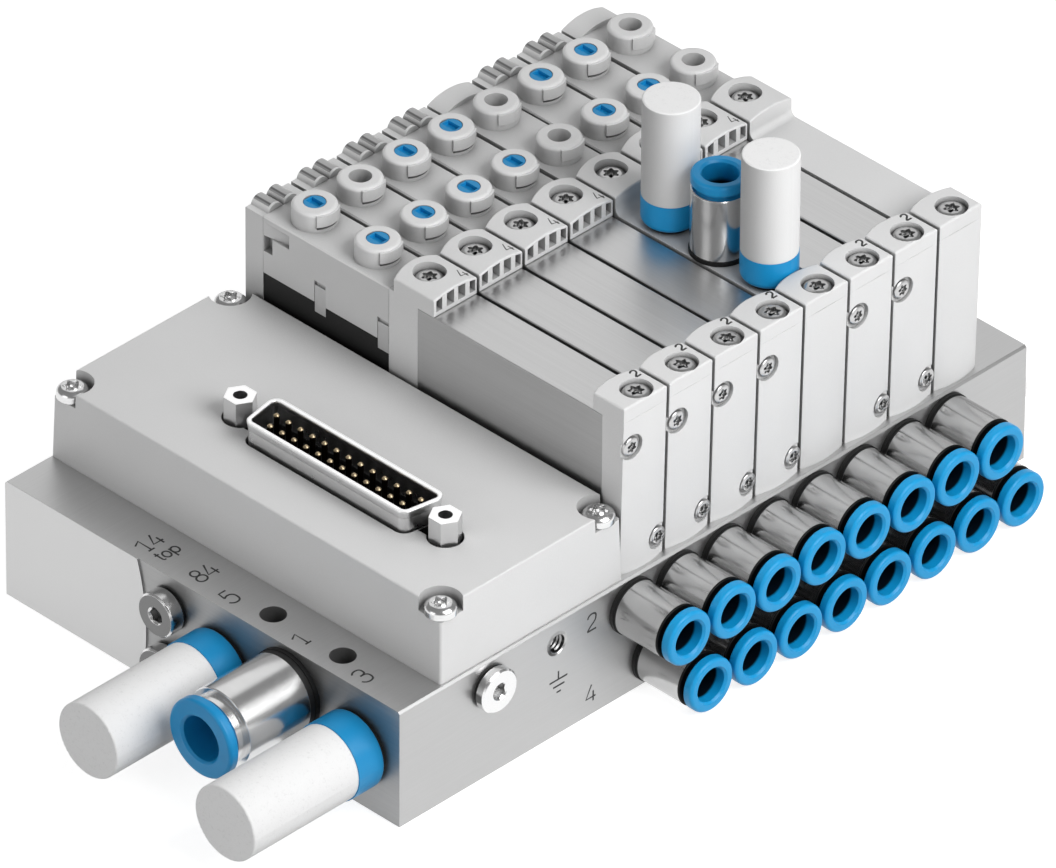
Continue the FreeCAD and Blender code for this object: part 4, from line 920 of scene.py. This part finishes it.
def marks():
    """The engraved port numbers, the earth sign, and the moulded digits on caps and covers."""
    along, back, up = (0, 1, 0), (-1, 0, 0), (0, 0, 1)
    form = bmesh.new()
    for sign, start, foot, height in STRIP_SIGNS:
        sign_strokes(form, sign, upright_sign((foot * MM, start * MM, RAIL_TOP), along, back, height * MM))
    for sign, start, foot, height in FACE_SIGNS:
        sign_strokes(form, sign, upright_sign((WORK_FACE, start * MM, foot * MM), along, up, height * MM))
    finish_piece("rail_marks", form, MARK, SHARP_CORNER)
    form = bmesh.new()
    down_the_arch = (0, math.cos(CAP_LEAN), -math.sin(CAP_LEAN))
    for (sign, foot, start, height, level), right in ((CAP_DIGIT, down_the_arch), (COVER_DIGIT, along)):
        for number in VALVE_STATIONS:
            place = (foot * MM, station(number) + start * MM, level * MM)
            sign_strokes(form, sign, upright_sign(place, right, back, height * MM))
    finish_piece("station_digits", form, MARK, SHARP_CORNER)


def camera():
    """The camera that took the photograph, rolled as it was."""
    back = Vector((math.sin(CAMERA_AZIMUTH) * math.cos(CAMERA_ELEVATION),
                   -math.cos(CAMERA_AZIMUTH) * math.cos(CAMERA_ELEVATION), math.sin(CAMERA_ELEVATION)))
    level = Vector((math.cos(CAMERA_AZIMUTH), math.sin(CAMERA_AZIMUTH), 0))
    upright = back.cross(level)
    right = level * math.cos(CAMERA_ROLL) + upright * math.sin(CAMERA_ROLL)
    up = upright * math.cos(CAMERA_ROLL) - level * math.sin(CAMERA_ROLL)
    data = bpy.data.cameras.new("camera")
    data.sensor_fit = "HORIZONTAL"
    data.sensor_width = SENSOR_WIDTH
    data.lens = CAMERA_FOCAL_PIXELS * SENSOR_WIDTH / PHOTO_WIDTH
    data.clip_start, data.clip_end = 0.1, 50
    made = bpy.data.objects.new("camera", data)
    turn = Matrix((right, up, back)).transposed().to_4x4()
    made.matrix_world = Matrix.Translation(CAMERA_PLACE) @ turn
    bpy.context.scene.collection.objects.link(made)
    bpy.context.scene.camera = made


def panel_light(name, place, target, size, power):
    """A soft square lamp that points at a target."""
    data = bpy.data.lights.new(name, "AREA")
    data.shape = "RECTANGLE"
    data.size, data.size_y = size, size
    data.energy = power
    made = bpy.data.objects.new(name, data)
    place, target = Vector(place), Vector(target)
    turn = (target - place).to_track_quat("-Z", "Y").to_matrix().to_4x4()
    made.matrix_world = Matrix.Translation(place) @ turn
    bpy.context.scene.collection.objects.link(made)


def seen_directly(s):
    """1 for rays from the camera, a mirror or glass, else 0."""
    path = s.node("ShaderNodeLightPath")
    return path["Is Camera Ray"].larger(path["Is Glossy Ray"]).larger(path["Is Transmission Ray"])


def floor():
    """A plain pale floor that shows white and keeps the object's shadow."""
    mesh = bpy.data.meshes.new("floor")
    form = bmesh.new()
    bmesh.ops.create_grid(form, x_segments=1, y_segments=1, size=FLOOR_HALF)
    form.to_mesh(mesh)
    form.free()
    made = bpy.data.objects.new("floor", mesh)
    made.location.z = SOLID_BOX[0].z
    bpy.context.scene.collection.objects.link(made)
    s = shader("floor")
    paper = s.noise(4 * MM, 2.0)
    lit = s.node("ShaderNodeBsdfDiffuse", None, {"Color": s.mix(paper, grey(0.72), grey(0.73))})["BSDF"]
    glow = seen_directly(s) * FLOOR_LIFT
    lift = s.node("ShaderNodeEmission", None, {"Color": WHITE, "Strength": glow})["Emission"]
    both = s.node("ShaderNodeAddShader", None, {0: lit, 1: lift})[0]
    s.node("ShaderNodeOutputMaterial", None, {"Surface": both})
    mesh.materials.append(s.owner)


def studio():
    """A dim grey room with a white band round its foot, and soft panels on the object."""
    world = bpy.data.worlds.new("studio")
    bpy.context.scene.world = world
    s = Shader(world)
    height = s.node("ShaderNodeSeparateXYZ", None, {0: s.node("ShaderNodeTexCoord")["Generated"]})["Z"]
    around = s.mix(height.step(BAND_TOP, ROOM_FOOT), WHITE, ROOM_GREY)
    room = s.node("ShaderNodeBackground", None, {"Color": around, "Strength": 1.0})["Background"]
    s.node("ShaderNodeOutputWorld", None, {"Surface": room})
    for lamp in LAMPS:
        panel_light(*lamp)


camera()
studio()
floor()
finish_solids()
screws()
connector_rim()
plunger_tongues()
earth_thread()
marks()

bpy.context.scene.view_settings.view_transform = "Standard"
